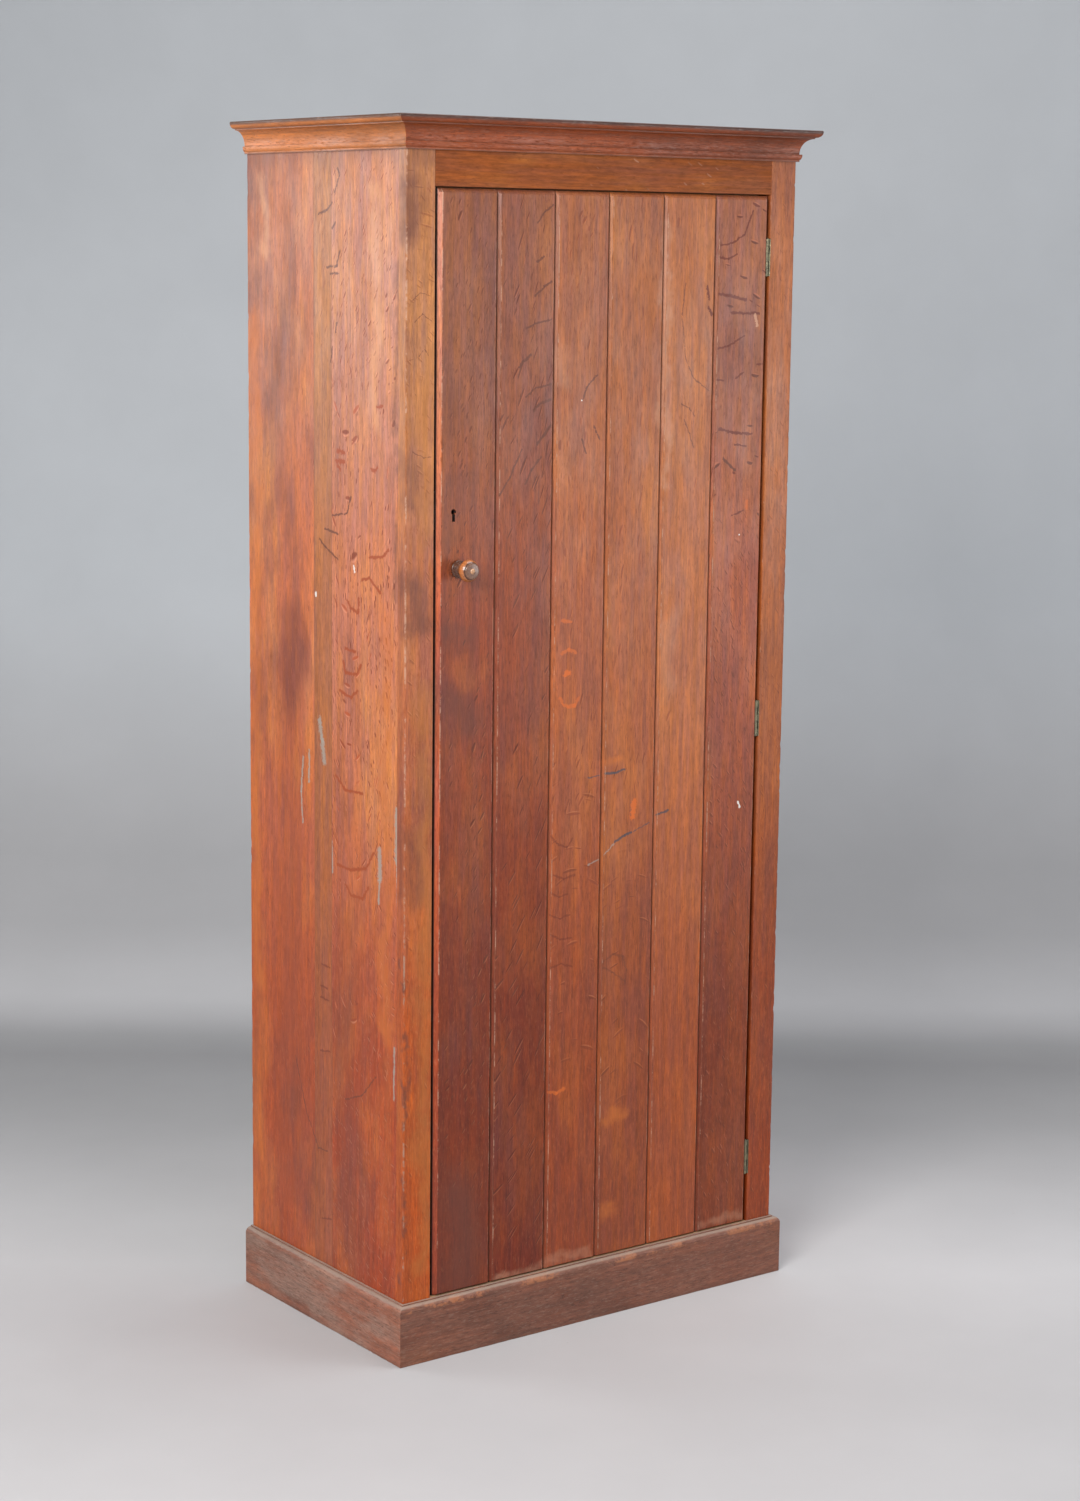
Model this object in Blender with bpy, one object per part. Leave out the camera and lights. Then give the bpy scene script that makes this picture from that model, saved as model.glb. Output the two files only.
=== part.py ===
"""Tall oak cupboard with one planked door, a moulded cornice and a moulded plinth.

All sizes are in metres. +Z is up, the door faces -Y and +X is to the right of
someone who looks at the door. The origin is at the middle of the base, under the
box that holds the whole cupboard, knob included.
"""

import math

import bmesh
import bpy
from mathutils import Vector

# Whole cupboard
HEIGHT = 1.830
CARCASS_WIDTH = 0.7186
CARCASS_DEPTH = 0.4355
SEAT_GAP = 0.0003
CUT_OVERRUN = 0.004

# Face frame
FRAME_THICKNESS = 0.019
STILE_WIDTH = 0.0487
FRAME_DROP = 0.002
TOP_RAIL_HEIGHT = 0.0955
OUTER_ARRIS = 0.0012
TENON_LENGTH = 0.024
TENON_THICKNESS = 0.0065
TENON_SHOULDER = 0.012

# Side panels
SIDE_THICKNESS = 0.019
BACK_REBATE = 0.0095
HOUSING_DEPTH = 0.007

# Floor and top boards
FLOOR_THICKNESS = 0.016
TOP_THICKNESS = 0.016

# Back boards
BACK_BOARD_COUNT = 5
BACK_BOARD_THICKNESS = 0.011
BACK_TONGUE_LENGTH = 0.006
BACK_TONGUE_THICKNESS = 0.004
BACK_EDGE_CHAMFER = 0.0015

# Shelves and their bearers
SHELF_COUNT = 4
SHELF_THICKNESS = 0.016
SHELF_FRONT_SETBACK = 0.052
SHELF_SIDE_CLEARANCE = 0.001
SHELF_BACK_CLEARANCE = 0.001
SHELF_ARRIS = 0.0015
BEARER_HEIGHT = 0.020
BEARER_WIDTH = 0.018
BEARER_FRONT_SETBACK = 0.062
BEARER_NOSE = 0.006

# Plinth, whose top edge is a ledge, a quirk and an ovolo
PLINTH_HEIGHT = 0.094
PLINTH_REACH = 0.0132
PLINTH_LEDGE = 0.0040
PLINTH_QUIRK = 0.0020
PLINTH_QUIRK_FLAT = 0.0012
PLINTH_OVOLO_HEIGHT = 0.0088
PLINTH_FOOT_CHAMFER = 0.0010
OVOLO_STEPS = 6

# Cornice, from its nose down: rounded nose, small fillet, cavetto and bead
CORNICE_HEIGHT = 0.047
CORNICE_REACH = 0.0293
NOSE_TOP_ROUND = 0.0018
NOSE_DEPTH = 0.0106
NOSE_UNDER_REACH = 0.0215
FILLET_REACH = 0.0203
FILLET_DEPTH = 0.0018
CAVETTO_HEIGHT = 0.0226
CAVETTO_FOOT_REACH = 0.0036
BEAD_LIP_REACH = 0.0068
BEAD_LIP_RISE = 0.0010
BEAD_LIP_EDGE = 0.0011
BEAD_HEIGHT = 0.0070
BEAD_FOOT_REACH = 0.0038
NOSE_ROUND_STEPS = 3
NOSE_STEPS = 6
CAVETTO_STEPS = 8
BEAD_STEPS = 4
MITRE_GAP = 0.0002

# Door
DOOR_PROUD = 0.0005
DOOR_LOCK_GAP = 0.0062
DOOR_HINGE_GAP = 0.0025
DOOR_TOP_GAP = 0.0019
DOOR_FOOT_GAP = 0.0020
DOOR_EDGE_CHAMFER = 0.0065
DOOR_FOOT_CHAMFER = 0.0015
PLANK_THICKNESS = 0.019
PLANK_WIDTH_SHARES = (0.1702, 0.1679, 0.1614, 0.1679, 0.1630, 0.1696)
PLANK_JOINT_GAP = 0.0006
PLANK_JOINT_CHAMFER = 0.0044
PLANK_TONGUE_SETBACK = 0.0075
PLANK_TONGUE_THICKNESS = 0.0050
PLANK_TONGUE_LENGTH = 0.0060
TONGUE_CLEARANCE = 0.0004

# Ledges across the back of the door
LEDGE_HEIGHT = 0.095
LEDGE_THICKNESS = 0.018
LEDGE_END_SETBACK = 0.026
LEDGE_CHAMFER = 0.004
LEDGE_TOP_SETBACK = 0.1306
LEDGE_FOOT_SETBACK = 0.1390
LEDGE_MIDDLE_RISE = 0.0075

# Door stops
STOP_THICKNESS = 0.012
STOP_WIDTH = 0.032
STOP_SIDE_LAP = 0.0060
STOP_TOP_LAP = 0.0070
STOP_FOOT_SETBACK = 0.004

# Butt hinges
HINGE_LENGTH = 0.0565
HINGE_TOP_SETBACK = 0.0926
HINGE_FOOT_SETBACK = 0.1060
HINGE_MIDDLE_RISE = 0.0015
HINGE_KNUCKLE_COUNT = 5
KNUCKLE_RADIUS = 0.0026
KNUCKLE_BORE = 0.0013
KNUCKLE_CLEARANCE = 0.0004
PIN_RADIUS = 0.0010
PIN_END_PROUD = 0.0008
PIN_DEPTH = 0.0026
PIN_TO_DOOR_EDGE = 0.0013
LEAF_THICKNESS = 0.0012
LEAF_WIDTH = 0.0125
LEAF_FRONT_SETBACK = 0.0003
WEB_HALF_THICKNESS = 0.0010
HINGE_SEGMENTS = 20

# Knob, measured out from the door's face
KNOB_SIDE_OFFSET = 0.0910
KNOB_HEIGHT = 1.190
KNOB_LENGTH = 0.0390
KNOB_FOOT_RADIUS = 0.0128
KNOB_FOOT_THICKNESS = 0.0034
KNOB_RING_RADIUS = 0.0108
KNOB_RING_THICKNESS = 0.0030
KNOB_NECK_RADIUS = 0.0066
KNOB_NECK_REACH = 0.0140
KNOB_HEAD_RADIUS = 0.0163
KNOB_HEAD_REACH = 0.0262
KNOB_RIM_THICKNESS = 0.0020
KNOB_SHOULDER_RADIUS = 0.0126
KNOB_SHOULDER_REACH = 0.0342
KNOB_FACE_RADIUS = 0.0120
KNOB_FACE_REACH = 0.0350
KNOB_NIPPLE_RADIUS = 0.0036
KNOB_NIPPLE_RISE = 0.0022
KNOB_GROOVE = 0.0008
KNOB_NECK_SHARES = (0.35, 0.7, 1.0)
KNOB_SEGMENTS = 40
KNOB_CURVE_STEPS = 5
SMOOTH_ANGLE = 35.0

# Knob screw
SCREW_RADIUS = 0.0022
SCREW_HEAD_RADIUS = 0.0045
SCREW_HEAD_DEPTH = 0.0030
SCREW_IN_KNOB = 0.0180
SCREW_CLEARANCE = 0.0003
SCREW_SEGMENTS = 16

# Keyhole and lock
KEYHOLE_SIDE_OFFSET = 0.0827
KEYHOLE_ABOVE_KNOB = 0.0827
KEYHOLE_RADIUS = 0.0043
KEYHOLE_SLOT_WIDTH = 0.0050
KEYHOLE_DROP = 0.0142
KEYHOLE_SEGMENTS = 24
LOCK_DEPTH = 0.0090
LOCK_LENGTH = 0.0500
LOCK_WALL = 0.0012
LOCK_BELOW_KEY = 0.0175
LOCK_ABOVE_BOLT = 0.0030
SELVEDGE_THICKNESS = 0.0015
SELVEDGE_OVERLAP = 0.0070
SELVEDGE_WIDTH = 0.0130
BOLT_RISE = 0.0045
BOLT_HEIGHT = 0.0160
BOLT_THICKNESS = 0.0042
BOLT_LENGTH = 0.0330
BOLT_THROW = 0.0120
BOLT_TALON_WIDTH = 0.0070
BOLT_TALON_DEPTH = 0.0045
BOLT_CLEARANCE = 0.0004
KEY_PIN_RADIUS = 0.0011
KEY_PIN_LENGTH = 0.0062
STRIKE_THICKNESS = 0.0012
STRIKE_OVERLAP = 0.0100
STRIKE_WIDTH = 0.0130
STRIKE_END_SPACE = 0.0020

# Colours, one for each kind of piece, as red, green and blue
OAK_FRAME = (0.262, 0.105, 0.042)
OAK_SIDE = (0.330, 0.125, 0.050)
OAK_PLINTH = (0.120, 0.052, 0.030)
OAK_CORNICE = (0.230, 0.090, 0.038)
OAK_PLANKS = (
    (0.165, 0.062, 0.036),
    (0.190, 0.070, 0.038),
    (0.255, 0.100, 0.046),
    (0.240, 0.090, 0.044),
    (0.260, 0.105, 0.048),
    (0.175, 0.062, 0.034),
)
OAK_INNER = (0.310, 0.170, 0.080)
PINE_BACK = (0.420, 0.260, 0.130)
KNOB_WOOD = (0.230, 0.110, 0.055)
BRASS = (0.330, 0.270, 0.140)
STEEL = (0.300, 0.290, 0.280)
WOOD_ROUGHNESS = 0.46
METAL_ROUGHNESS = 0.42

# Places worked out from the sizes above
KNOB_OVERHANG = DOOR_PROUD + SEAT_GAP + KNOB_LENGTH
FRONT_Y = (KNOB_OVERHANG - CARCASS_DEPTH) / 2
BACK_Y = FRONT_Y + CARCASS_DEPTH
FRAME_BACK_Y = FRONT_Y + FRAME_THICKNESS
LEFT_X = -CARCASS_WIDTH / 2
RIGHT_X = CARCASS_WIDTH / 2
OPENING_LEFT = LEFT_X + STILE_WIDTH
OPENING_RIGHT = RIGHT_X - STILE_WIDTH
CARCASS_TOP = HEIGHT - FRAME_DROP
OPENING_TOP = CARCASS_TOP - TOP_RAIL_HEIGHT
INNER_LEFT = LEFT_X + SIDE_THICKNESS
INNER_RIGHT = RIGHT_X - SIDE_THICKNESS
BACK_FACE_Y = BACK_Y - BACK_BOARD_THICKNESS
DOOR_LEFT = OPENING_LEFT + DOOR_LOCK_GAP
DOOR_RIGHT = OPENING_RIGHT - DOOR_HINGE_GAP
DOOR_WIDTH = DOOR_RIGHT - DOOR_LEFT
DOOR_FOOT = PLINTH_HEIGHT + DOOR_FOOT_GAP
DOOR_TOP = OPENING_TOP - DOOR_TOP_GAP
DOOR_FACE_Y = FRONT_Y - DOOR_PROUD
DOOR_BACK_Y = DOOR_FACE_Y + PLANK_THICKNESS
TOP_LEDGE_HEIGHT = DOOR_TOP - LEDGE_TOP_SETBACK
BOTTOM_LEDGE_HEIGHT = DOOR_FOOT + LEDGE_FOOT_SETBACK
LEDGE_HEIGHTS = {
    "top": TOP_LEDGE_HEIGHT,
    "middle": (TOP_LEDGE_HEIGHT + BOTTOM_LEDGE_HEIGHT) / 2 + LEDGE_MIDDLE_RISE,
    "bottom": BOTTOM_LEDGE_HEIGHT,
}
TOP_HINGE_HEIGHT = DOOR_TOP - HINGE_TOP_SETBACK
BOTTOM_HINGE_HEIGHT = DOOR_FOOT + HINGE_FOOT_SETBACK
HINGE_HEIGHTS = {
    "top": TOP_HINGE_HEIGHT,
    "middle": (TOP_HINGE_HEIGHT + BOTTOM_HINGE_HEIGHT) / 2 + HINGE_MIDDLE_RISE,
    "bottom": BOTTOM_HINGE_HEIGHT,
}
PIN_X = DOOR_RIGHT - PIN_TO_DOOR_EDGE
PIN_Y = FRONT_Y + PIN_DEPTH
KNOB_X = LEFT_X + KNOB_SIDE_OFFSET
KEYHOLE_X = LEFT_X + KEYHOLE_SIDE_OFFSET
KEYHOLE_HEIGHT = KNOB_HEIGHT + KEYHOLE_ABOVE_KNOB
LOCK_FRONT_Y = DOOR_BACK_Y - LOCK_DEPTH
BOLT_LOW = KEYHOLE_HEIGHT + BOLT_RISE
BOLT_HIGH = BOLT_LOW + BOLT_HEIGHT
BOLT_MIDDLE_Y = DOOR_BACK_Y - LOCK_DEPTH / 2
LOCK_LOW = KEYHOLE_HEIGHT - LOCK_BELOW_KEY
LOCK_HIGH = BOLT_HIGH + LOCK_ABOVE_BOLT


def clear_objects():
    """Remove every object of the file."""
    for item in list(bpy.data.objects):
        bpy.data.objects.remove(item, do_unlink=True)


def finish(item, colour, roughness=WOOD_ROUGHNESS, metallic=0.0):
    """Give a piece its own material."""
    material = bpy.data.materials.new(item.name + "_finish")
    material.use_nodes = True
    shader = material.node_tree.nodes["Principled BSDF"]
    shader.inputs["Base Color"].default_value = (*colour, 1.0)
    shader.inputs["Roughness"].default_value = roughness
    shader.inputs["Metallic"].default_value = metallic
    item.data.materials.append(material)
    return item


def metal(item, colour):
    """Give a metal piece its own material."""
    return finish(item, colour, METAL_ROUGHNESS, 1.0)


def object_from(name, points, faces, origin=(0.0, 0.0, 0.0)):
    """Closed mesh object whose faces point outwards, with its origin where it is asked."""
    mesh = bpy.data.meshes.new(name)
    shift = Vector(origin)
    mesh.from_pydata([Vector(point) - shift for point in points], [], faces)
    work = bmesh.new()
    work.from_mesh(mesh)
    bmesh.ops.recalc_face_normals(work, faces=work.faces)
    work.to_mesh(mesh)
    work.free()
    item = bpy.data.objects.new(name, mesh)
    item.location = shift
    bpy.context.scene.collection.objects.link(item)
    return item


def prism(name, outline, low, high, run="z", origin=(0.0, 0.0, 0.0)):
    """Solid of one outline carried straight from low to high along an axis.

    The outline's two numbers are x and y for a run along z, x and z for a run
    along y, and y and z for a run along x.
    """
    place = {
        "z": lambda a, b, t: (a, b, t),
        "y": lambda a, b, t: (a, t, b),
        "x": lambda a, b, t: (t, a, b),
    }[run]
    count = len(outline)
    points = [place(a, b, low) for a, b in outline]
    points += [place(a, b, high) for a, b in outline]
    faces = [tuple(range(count)), tuple(range(count, 2 * count))]
    for i in range(count):
        j = (i + 1) % count
        faces.append((i, j, count + j, count + i))
    return object_from(name, points, faces, origin)


def block(name, low, high, origin=(0.0, 0.0, 0.0)):
    """Plain box between two corners."""
    outline = [(low[0], low[1]), (high[0], low[1]), (high[0], high[1]), (low[0], high[1])]
    return prism(name, outline, low[2], high[2], "z", origin)


def turned(name, profile, foot, direction, segments, origin=None):
    """Solid turned about an axis, from pairs of radius and distance along it.

    The first and the last pair lie on the axis, with radius zero.
    """
    along = Vector(direction).normalized()
    side = Vector((1.0, 0.0, 0.0))
    across = along.cross(side)
    foot = Vector(foot)
    points = [foot + along * profile[0][1]]
    for radius, distance in profile[1:-1]:
        for step in range(segments):
            angle = 2 * math.pi * step / segments
            spoke = side * math.cos(angle) + across * math.sin(angle)
            points.append(foot + along * distance + spoke * radius)
    tip = len(points)
    points.append(foot + along * profile[-1][1])
    rings = len(profile[1:-1])
    faces = []
    for step in range(segments):
        after = (step + 1) % segments
        faces.append((0, 1 + after, 1 + step))
        for ring in range(rings - 1):
            near = 1 + ring * segments
            far = near + segments
            faces.append((near + step, near + after, far + after, far + step))
        end = 1 + (rings - 1) * segments
        faces.append((end + step, end + after, tip))
    item = object_from(name, points, faces, origin if origin is not None else foot)
    item.data.shade_smooth()
    item.data.set_sharp_from_angle(angle=math.radians(SMOOTH_ANGLE))
    return item


def use_tool(item, tool, operation="DIFFERENCE"):
    """Cut a piece with a tool shape, or join the tool shape to it."""
    step = item.modifiers.new(operation.lower(), "BOOLEAN")
    step.operation = operation
    step.solver = "EXACT"
    step.object = tool
    tool.hide_render = True
    tool.display_type = "WIRE"


def soften(item, width):
    """Take the sharp arrises off a board."""
    step = item.modifiers.new("arris", "BEVEL")
    step.width = width
    step.segments = 1
    step.limit_method = "ANGLE"


def quarter(centre, radii, start, end, steps):
    """Points along part of an ellipse, between two angles in degrees."""
    points = []
    for step in range(steps + 1):
        angle = math.radians(start + (end - start) * step / steps)
        points.append((centre[0] + radii[0] * math.cos(angle), centre[1] + radii[1] * math.sin(angle)))
    return points


def plinth_profile():
    """Outline of the plinth moulding: distance out from the carcass, and height."""
    quirk_height = PLINTH_HEIGHT - PLINTH_QUIRK
    ovolo_start = PLINTH_LEDGE + PLINTH_QUIRK_FLAT
    ovolo_reach = PLINTH_REACH - ovolo_start
    ovolo_foot = quirk_height - PLINTH_OVOLO_HEIGHT
    points = [(SEAT_GAP, 0.0), (SEAT_GAP, PLINTH_HEIGHT), (PLINTH_LEDGE, PLINTH_HEIGHT)]
    points.append((PLINTH_LEDGE, quirk_height))
    points += quarter((ovolo_start, ovolo_foot), (ovolo_reach, PLINTH_OVOLO_HEIGHT), 90, 0, OVOLO_STEPS)
    points.append((PLINTH_REACH, PLINTH_FOOT_CHAMFER))
    points.append((PLINTH_REACH - PLINTH_FOOT_CHAMFER, 0.0))
    return points


def cornice_profile():
    """Outline of the cornice moulding: distance out from the carcass, and height."""
    nose_foot = HEIGHT - NOSE_DEPTH
    fillet_foot = nose_foot - FILLET_DEPTH
    cavetto_foot = fillet_foot - CAVETTO_HEIGHT
    lip = cavetto_foot - BEAD_LIP_RISE
    bead_top = lip - BEAD_LIP_EDGE
    nose_middle = HEIGHT - NOSE_TOP_ROUND
    under = (CORNICE_REACH - NOSE_UNDER_REACH, nose_middle - nose_foot)
    hollow = (FILLET_REACH - CAVETTO_FOOT_REACH, CAVETTO_HEIGHT)
    bead = (BEAD_LIP_REACH - BEAD_FOOT_REACH, BEAD_HEIGHT)
    top_centre = (CORNICE_REACH - NOSE_TOP_ROUND, nose_middle)
    points = [(SEAT_GAP, HEIGHT - CORNICE_HEIGHT), (SEAT_GAP, HEIGHT)]
    points += quarter(top_centre, (NOSE_TOP_ROUND, NOSE_TOP_ROUND), 90, 0, NOSE_ROUND_STEPS)
    points += quarter((NOSE_UNDER_REACH, nose_middle), under, 0, -90, NOSE_STEPS)[1:]
    points.append((FILLET_REACH, nose_foot))
    points += quarter((FILLET_REACH, cavetto_foot), hollow, 90, 180, CAVETTO_STEPS)
    points.append((BEAD_LIP_REACH, lip))
    points += quarter((BEAD_FOOT_REACH, bead_top), bead, 0, -90, BEAD_STEPS)
    points.append((BEAD_FOOT_REACH, HEIGHT - CORNICE_HEIGHT))
    return points


def front_moulding(name, profile):
    """Moulding across the front, mitred at both ends."""
    points = []
    for end in (-1, 1):
        for reach, height in profile:
            half = CARCASS_WIDTH / 2 + reach - MITRE_GAP / 2
            points.append((end * half, FRONT_Y - reach, height))
    return strip_object(name, points, len(profile))


def side_moulding(name, profile, side):
    """Moulding along one side, mitred at the front and square at the back."""
    points = []
    for reach, height in profile:
        points.append((side * (CARCASS_WIDTH / 2 + reach), FRONT_Y - reach + MITRE_GAP / 2, height))
    for reach, height in profile:
        points.append((side * (CARCASS_WIDTH / 2 + reach), BACK_Y, height))
    return strip_object(name, points, len(profile))


def strip_object(name, points, count):
    """Solid between two outlines with the same number of points."""
    faces = [tuple(range(count)), tuple(range(count, 2 * count))]
    for i in range(count):
        j = (i + 1) % count
        faces.append((i, j, count + j, count + i))
    return object_from(name, points, faces)


def make_mouldings():
    """Plinth boards and cornice lengths."""
    for word, profile, colour in (
        ("plinth", plinth_profile(), OAK_PLINTH),
        ("cornice", cornice_profile(), OAK_CORNICE),
    ):
        ending = "_board" if word == "plinth" else ""
        finish(front_moulding(word + "_front" + ending, profile), colour)
        finish(side_moulding(word + "_left" + ending, profile, -1), colour)
        finish(side_moulding(word + "_right" + ending, profile, 1), colour)


def make_rail(name, low, high):
    """Rail between the stiles, with a tenon at each end."""
    rail = block(
        name,
        (OPENING_LEFT + SEAT_GAP, FRONT_Y, low),
        (OPENING_RIGHT - SEAT_GAP, FRAME_BACK_Y, high),
    )
    middle_y = FRONT_Y + FRAME_THICKNESS / 2
    tenon = block(
        name + "_tenon_tool",
        (OPENING_LEFT - TENON_LENGTH, middle_y - TENON_THICKNESS / 2, low + TENON_SHOULDER),
        (OPENING_RIGHT + TENON_LENGTH, middle_y + TENON_THICKNESS / 2, high - TENON_SHOULDER),
    )
    use_tool(rail, tenon, "UNION")
    return finish(rail, OAK_FRAME)


def mortice_tool(side, name, low, high):
    """Shape of the mortice for one rail's tenon, in the stile on that side."""
    middle_y = FRONT_Y + FRAME_THICKNESS / 2
    half = TENON_THICKNESS / 2 + SEAT_GAP
    inner = CARCASS_WIDTH / 2 - STILE_WIDTH
    near = side * (inner - CUT_OVERRUN)
    far = side * (inner + TENON_LENGTH + SEAT_GAP)
    return block(
        name,
        (min(near, far), middle_y - half, low + TENON_SHOULDER - SEAT_GAP),
        (max(near, far), middle_y + half, high - TENON_SHOULDER + SEAT_GAP),
    )


def make_stile(name, side, rails):
    """Stile from the floor to the top of the carcass, with the mortices of both rails."""
    outer = side * CARCASS_WIDTH / 2
    inner = side * (CARCASS_WIDTH / 2 - STILE_WIDTH)
    outline = [
        (inner, FRONT_Y),
        (outer - side * OUTER_ARRIS, FRONT_Y),
        (outer, FRONT_Y + OUTER_ARRIS),
        (outer, FRAME_BACK_Y),
        (inner, FRAME_BACK_Y),
    ]
    stile = prism(name, outline, 0.0, CARCASS_TOP)
    for rail, (low, high) in rails.items():
        use_tool(stile, mortice_tool(side, name + "_" + rail + "_mortice_tool", low, high))
    return finish(stile, OAK_FRAME)


def make_face_frame():
    """Two stiles, the top rail and the bottom rail behind the plinth."""
    rails = {"top_rail": (OPENING_TOP, CARCASS_TOP), "bottom_rail": (0.0, PLINTH_HEIGHT)}
    left = make_stile("left_stile", -1, rails)
    right = make_stile("right_stile", 1, rails)
    for name, (low, high) in rails.items():
        make_rail(name, low, high)
    return left, right


def make_side_panel(name, side):
    """Side panel with a rebate for the back boards and housings for floor and top."""
    outer = side * CARCASS_WIDTH / 2
    inner = outer - side * SIDE_THICKNESS
    rebate = inner + side * BACK_REBATE
    front = FRAME_BACK_Y + SEAT_GAP
    step_y = BACK_FACE_Y - SEAT_GAP
    outline = [(outer, front), (outer, BACK_Y), (rebate, BACK_Y), (rebate, step_y), (inner, step_y), (inner, front)]
    panel = prism(name, outline, 0.0, CARCASS_TOP)
    far = inner + side * (HOUSING_DEPTH + SEAT_GAP)
    near = inner - side * CUT_OVERRUN
    boards = {
        "floor": (PLINTH_HEIGHT - FLOOR_THICKNESS, PLINTH_HEIGHT),
        "top": (CARCASS_TOP - TOP_THICKNESS, CARCASS_TOP + CUT_OVERRUN),
    }
    for word, (low, high) in boards.items():
        tool = block(
            name + "_" + word + "_housing_tool",
            (min(near, far), front - CUT_OVERRUN, low - SEAT_GAP),
            (max(near, far), BACK_Y + CUT_OVERRUN, high + SEAT_GAP),
        )
        use_tool(panel, tool)
    return finish(panel, OAK_SIDE)


def make_floor_and_top():
    """Floor board and top board, let into the side panels."""
    for name, low, high in (
        ("floor_board", PLINTH_HEIGHT - FLOOR_THICKNESS, PLINTH_HEIGHT),
        ("top_board", CARCASS_TOP - TOP_THICKNESS, CARCASS_TOP),
    ):
        board = block(
            name,
            (INNER_LEFT - HOUSING_DEPTH, FRAME_BACK_Y + SEAT_GAP, low),
            (INNER_RIGHT + HOUSING_DEPTH, BACK_FACE_Y - SEAT_GAP, high),
        )
        finish(board, OAK_INNER)


def tongued_outline(left, right, face_y, back_y, chamfers, joint, edges):
    """Plan outline of a board with a groove at its left and a tongue at its right.

    The chamfers are those of the face's left and right edge. The joint holds the
    tongue's distance behind the face, its thickness and its length, and edges says
    whether there is a groove and whether there is a tongue.
    """
    setback, thickness, length = joint
    has_groove, has_tongue = edges
    near = face_y + setback
    far = near + thickness
    outline = [(left, face_y + chamfers[0]), (left + chamfers[0], face_y)]
    outline += [(right - chamfers[1], face_y), (right, face_y + chamfers[1])]
    if has_tongue:
        outline += [(right, near), (right + length, near), (right + length, far), (right, far)]
    outline += [(right, back_y), (left, back_y)]
    if has_groove:
        depth = length + TONGUE_CLEARANCE
        low = near - TONGUE_CLEARANCE
        high = far + TONGUE_CLEARANCE
        outline += [(left, high), (left + depth, high), (left + depth, low), (left, low)]
    return outline


def make_back_boards():
    """Tongued boards that close the back, in the rebates of the side panels."""
    left = INNER_LEFT - BACK_REBATE + SEAT_GAP
    right = INNER_RIGHT + BACK_REBATE - SEAT_GAP
    pitch = (right - left + PLANK_JOINT_GAP) / BACK_BOARD_COUNT
    setback = (BACK_BOARD_THICKNESS - BACK_TONGUE_THICKNESS) / 2
    joint = (setback, BACK_TONGUE_THICKNESS, BACK_TONGUE_LENGTH)
    for number in range(1, BACK_BOARD_COUNT + 1):
        start = left + (number - 1) * pitch
        outline = tongued_outline(
            start,
            start + pitch - PLANK_JOINT_GAP,
            BACK_FACE_Y,
            BACK_Y,
            (BACK_EDGE_CHAMFER, BACK_EDGE_CHAMFER),
            joint,
            (number > 1, number < BACK_BOARD_COUNT),
        )
        finish(prism("back_board_%d" % number, outline, 0.0, CARCASS_TOP), PINE_BACK)


def shelf_levels():
    """Heights of the shelves' undersides, evenly spaced between floor and top board."""
    floor = PLINTH_HEIGHT
    ceiling = CARCASS_TOP - TOP_THICKNESS
    space = (ceiling - floor - SHELF_COUNT * SHELF_THICKNESS) / (SHELF_COUNT + 1)
    return [floor + (number + 1) * space + number * SHELF_THICKNESS for number in range(SHELF_COUNT)]


def make_bearer(name, side, level):
    """Strip on the inside of a side panel that carries one end of a shelf."""
    wall = CARCASS_WIDTH / 2 - SIDE_THICKNESS - SEAT_GAP
    front = FRONT_Y + BEARER_FRONT_SETBACK
    back = BACK_FACE_Y - SEAT_GAP
    top = level - SEAT_GAP
    foot = top - BEARER_HEIGHT
    outline = [(front, top), (back, top), (back, foot), (front + BEARER_NOSE, foot), (front, foot + BEARER_NOSE)]
    ends = sorted((side * wall, side * (wall - BEARER_WIDTH)))
    finish(prism(name, outline, ends[0], ends[1], "x"), OAK_INNER)


def make_shelves():
    """Loose shelves, each lying on two bearers."""
    for number, level in enumerate(shelf_levels(), start=1):
        shelf = block(
            "shelf_%d" % number,
            (INNER_LEFT + SHELF_SIDE_CLEARANCE, FRONT_Y + SHELF_FRONT_SETBACK, level),
            (INNER_RIGHT - SHELF_SIDE_CLEARANCE, BACK_FACE_Y - SHELF_BACK_CLEARANCE, level + SHELF_THICKNESS),
        )
        soften(shelf, SHELF_ARRIS)
        finish(shelf, OAK_INNER)
        make_bearer("shelf_bearer_left_%d" % number, -1, level)
        make_bearer("shelf_bearer_right_%d" % number, 1, level)


def make_stops():
    """Strips behind the frame that the door's left and top edges close against."""
    front = FRAME_BACK_Y + SEAT_GAP
    back = front + STOP_THICKNESS
    side = block(
        "door_stop_side",
        (DOOR_LEFT + STOP_SIDE_LAP - STOP_WIDTH, front, PLINTH_HEIGHT + STOP_FOOT_SETBACK),
        (DOOR_LEFT + STOP_SIDE_LAP, back, DOOR_TOP - STOP_TOP_LAP - SEAT_GAP),
    )
    top = block(
        "door_stop_top",
        (DOOR_LEFT + STOP_SIDE_LAP - STOP_WIDTH, front, DOOR_TOP - STOP_TOP_LAP),
        (DOOR_RIGHT - STOP_SIDE_LAP, back, DOOR_TOP - STOP_TOP_LAP + STOP_WIDTH),
    )
    finish(side, OAK_INNER)
    finish(top, OAK_INNER)


def plank_edges():
    """Left and right edge of each door plank, from the left."""
    total = sum(PLANK_WIDTH_SHARES)
    joints = len(PLANK_WIDTH_SHARES) - 1
    wood = DOOR_WIDTH - joints * PLANK_JOINT_GAP
    edges = []
    start = DOOR_LEFT
    for share in PLANK_WIDTH_SHARES:
        end = start + wood * share / total
        edges.append((start, end))
        start = end + PLANK_JOINT_GAP
    return edges


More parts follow.
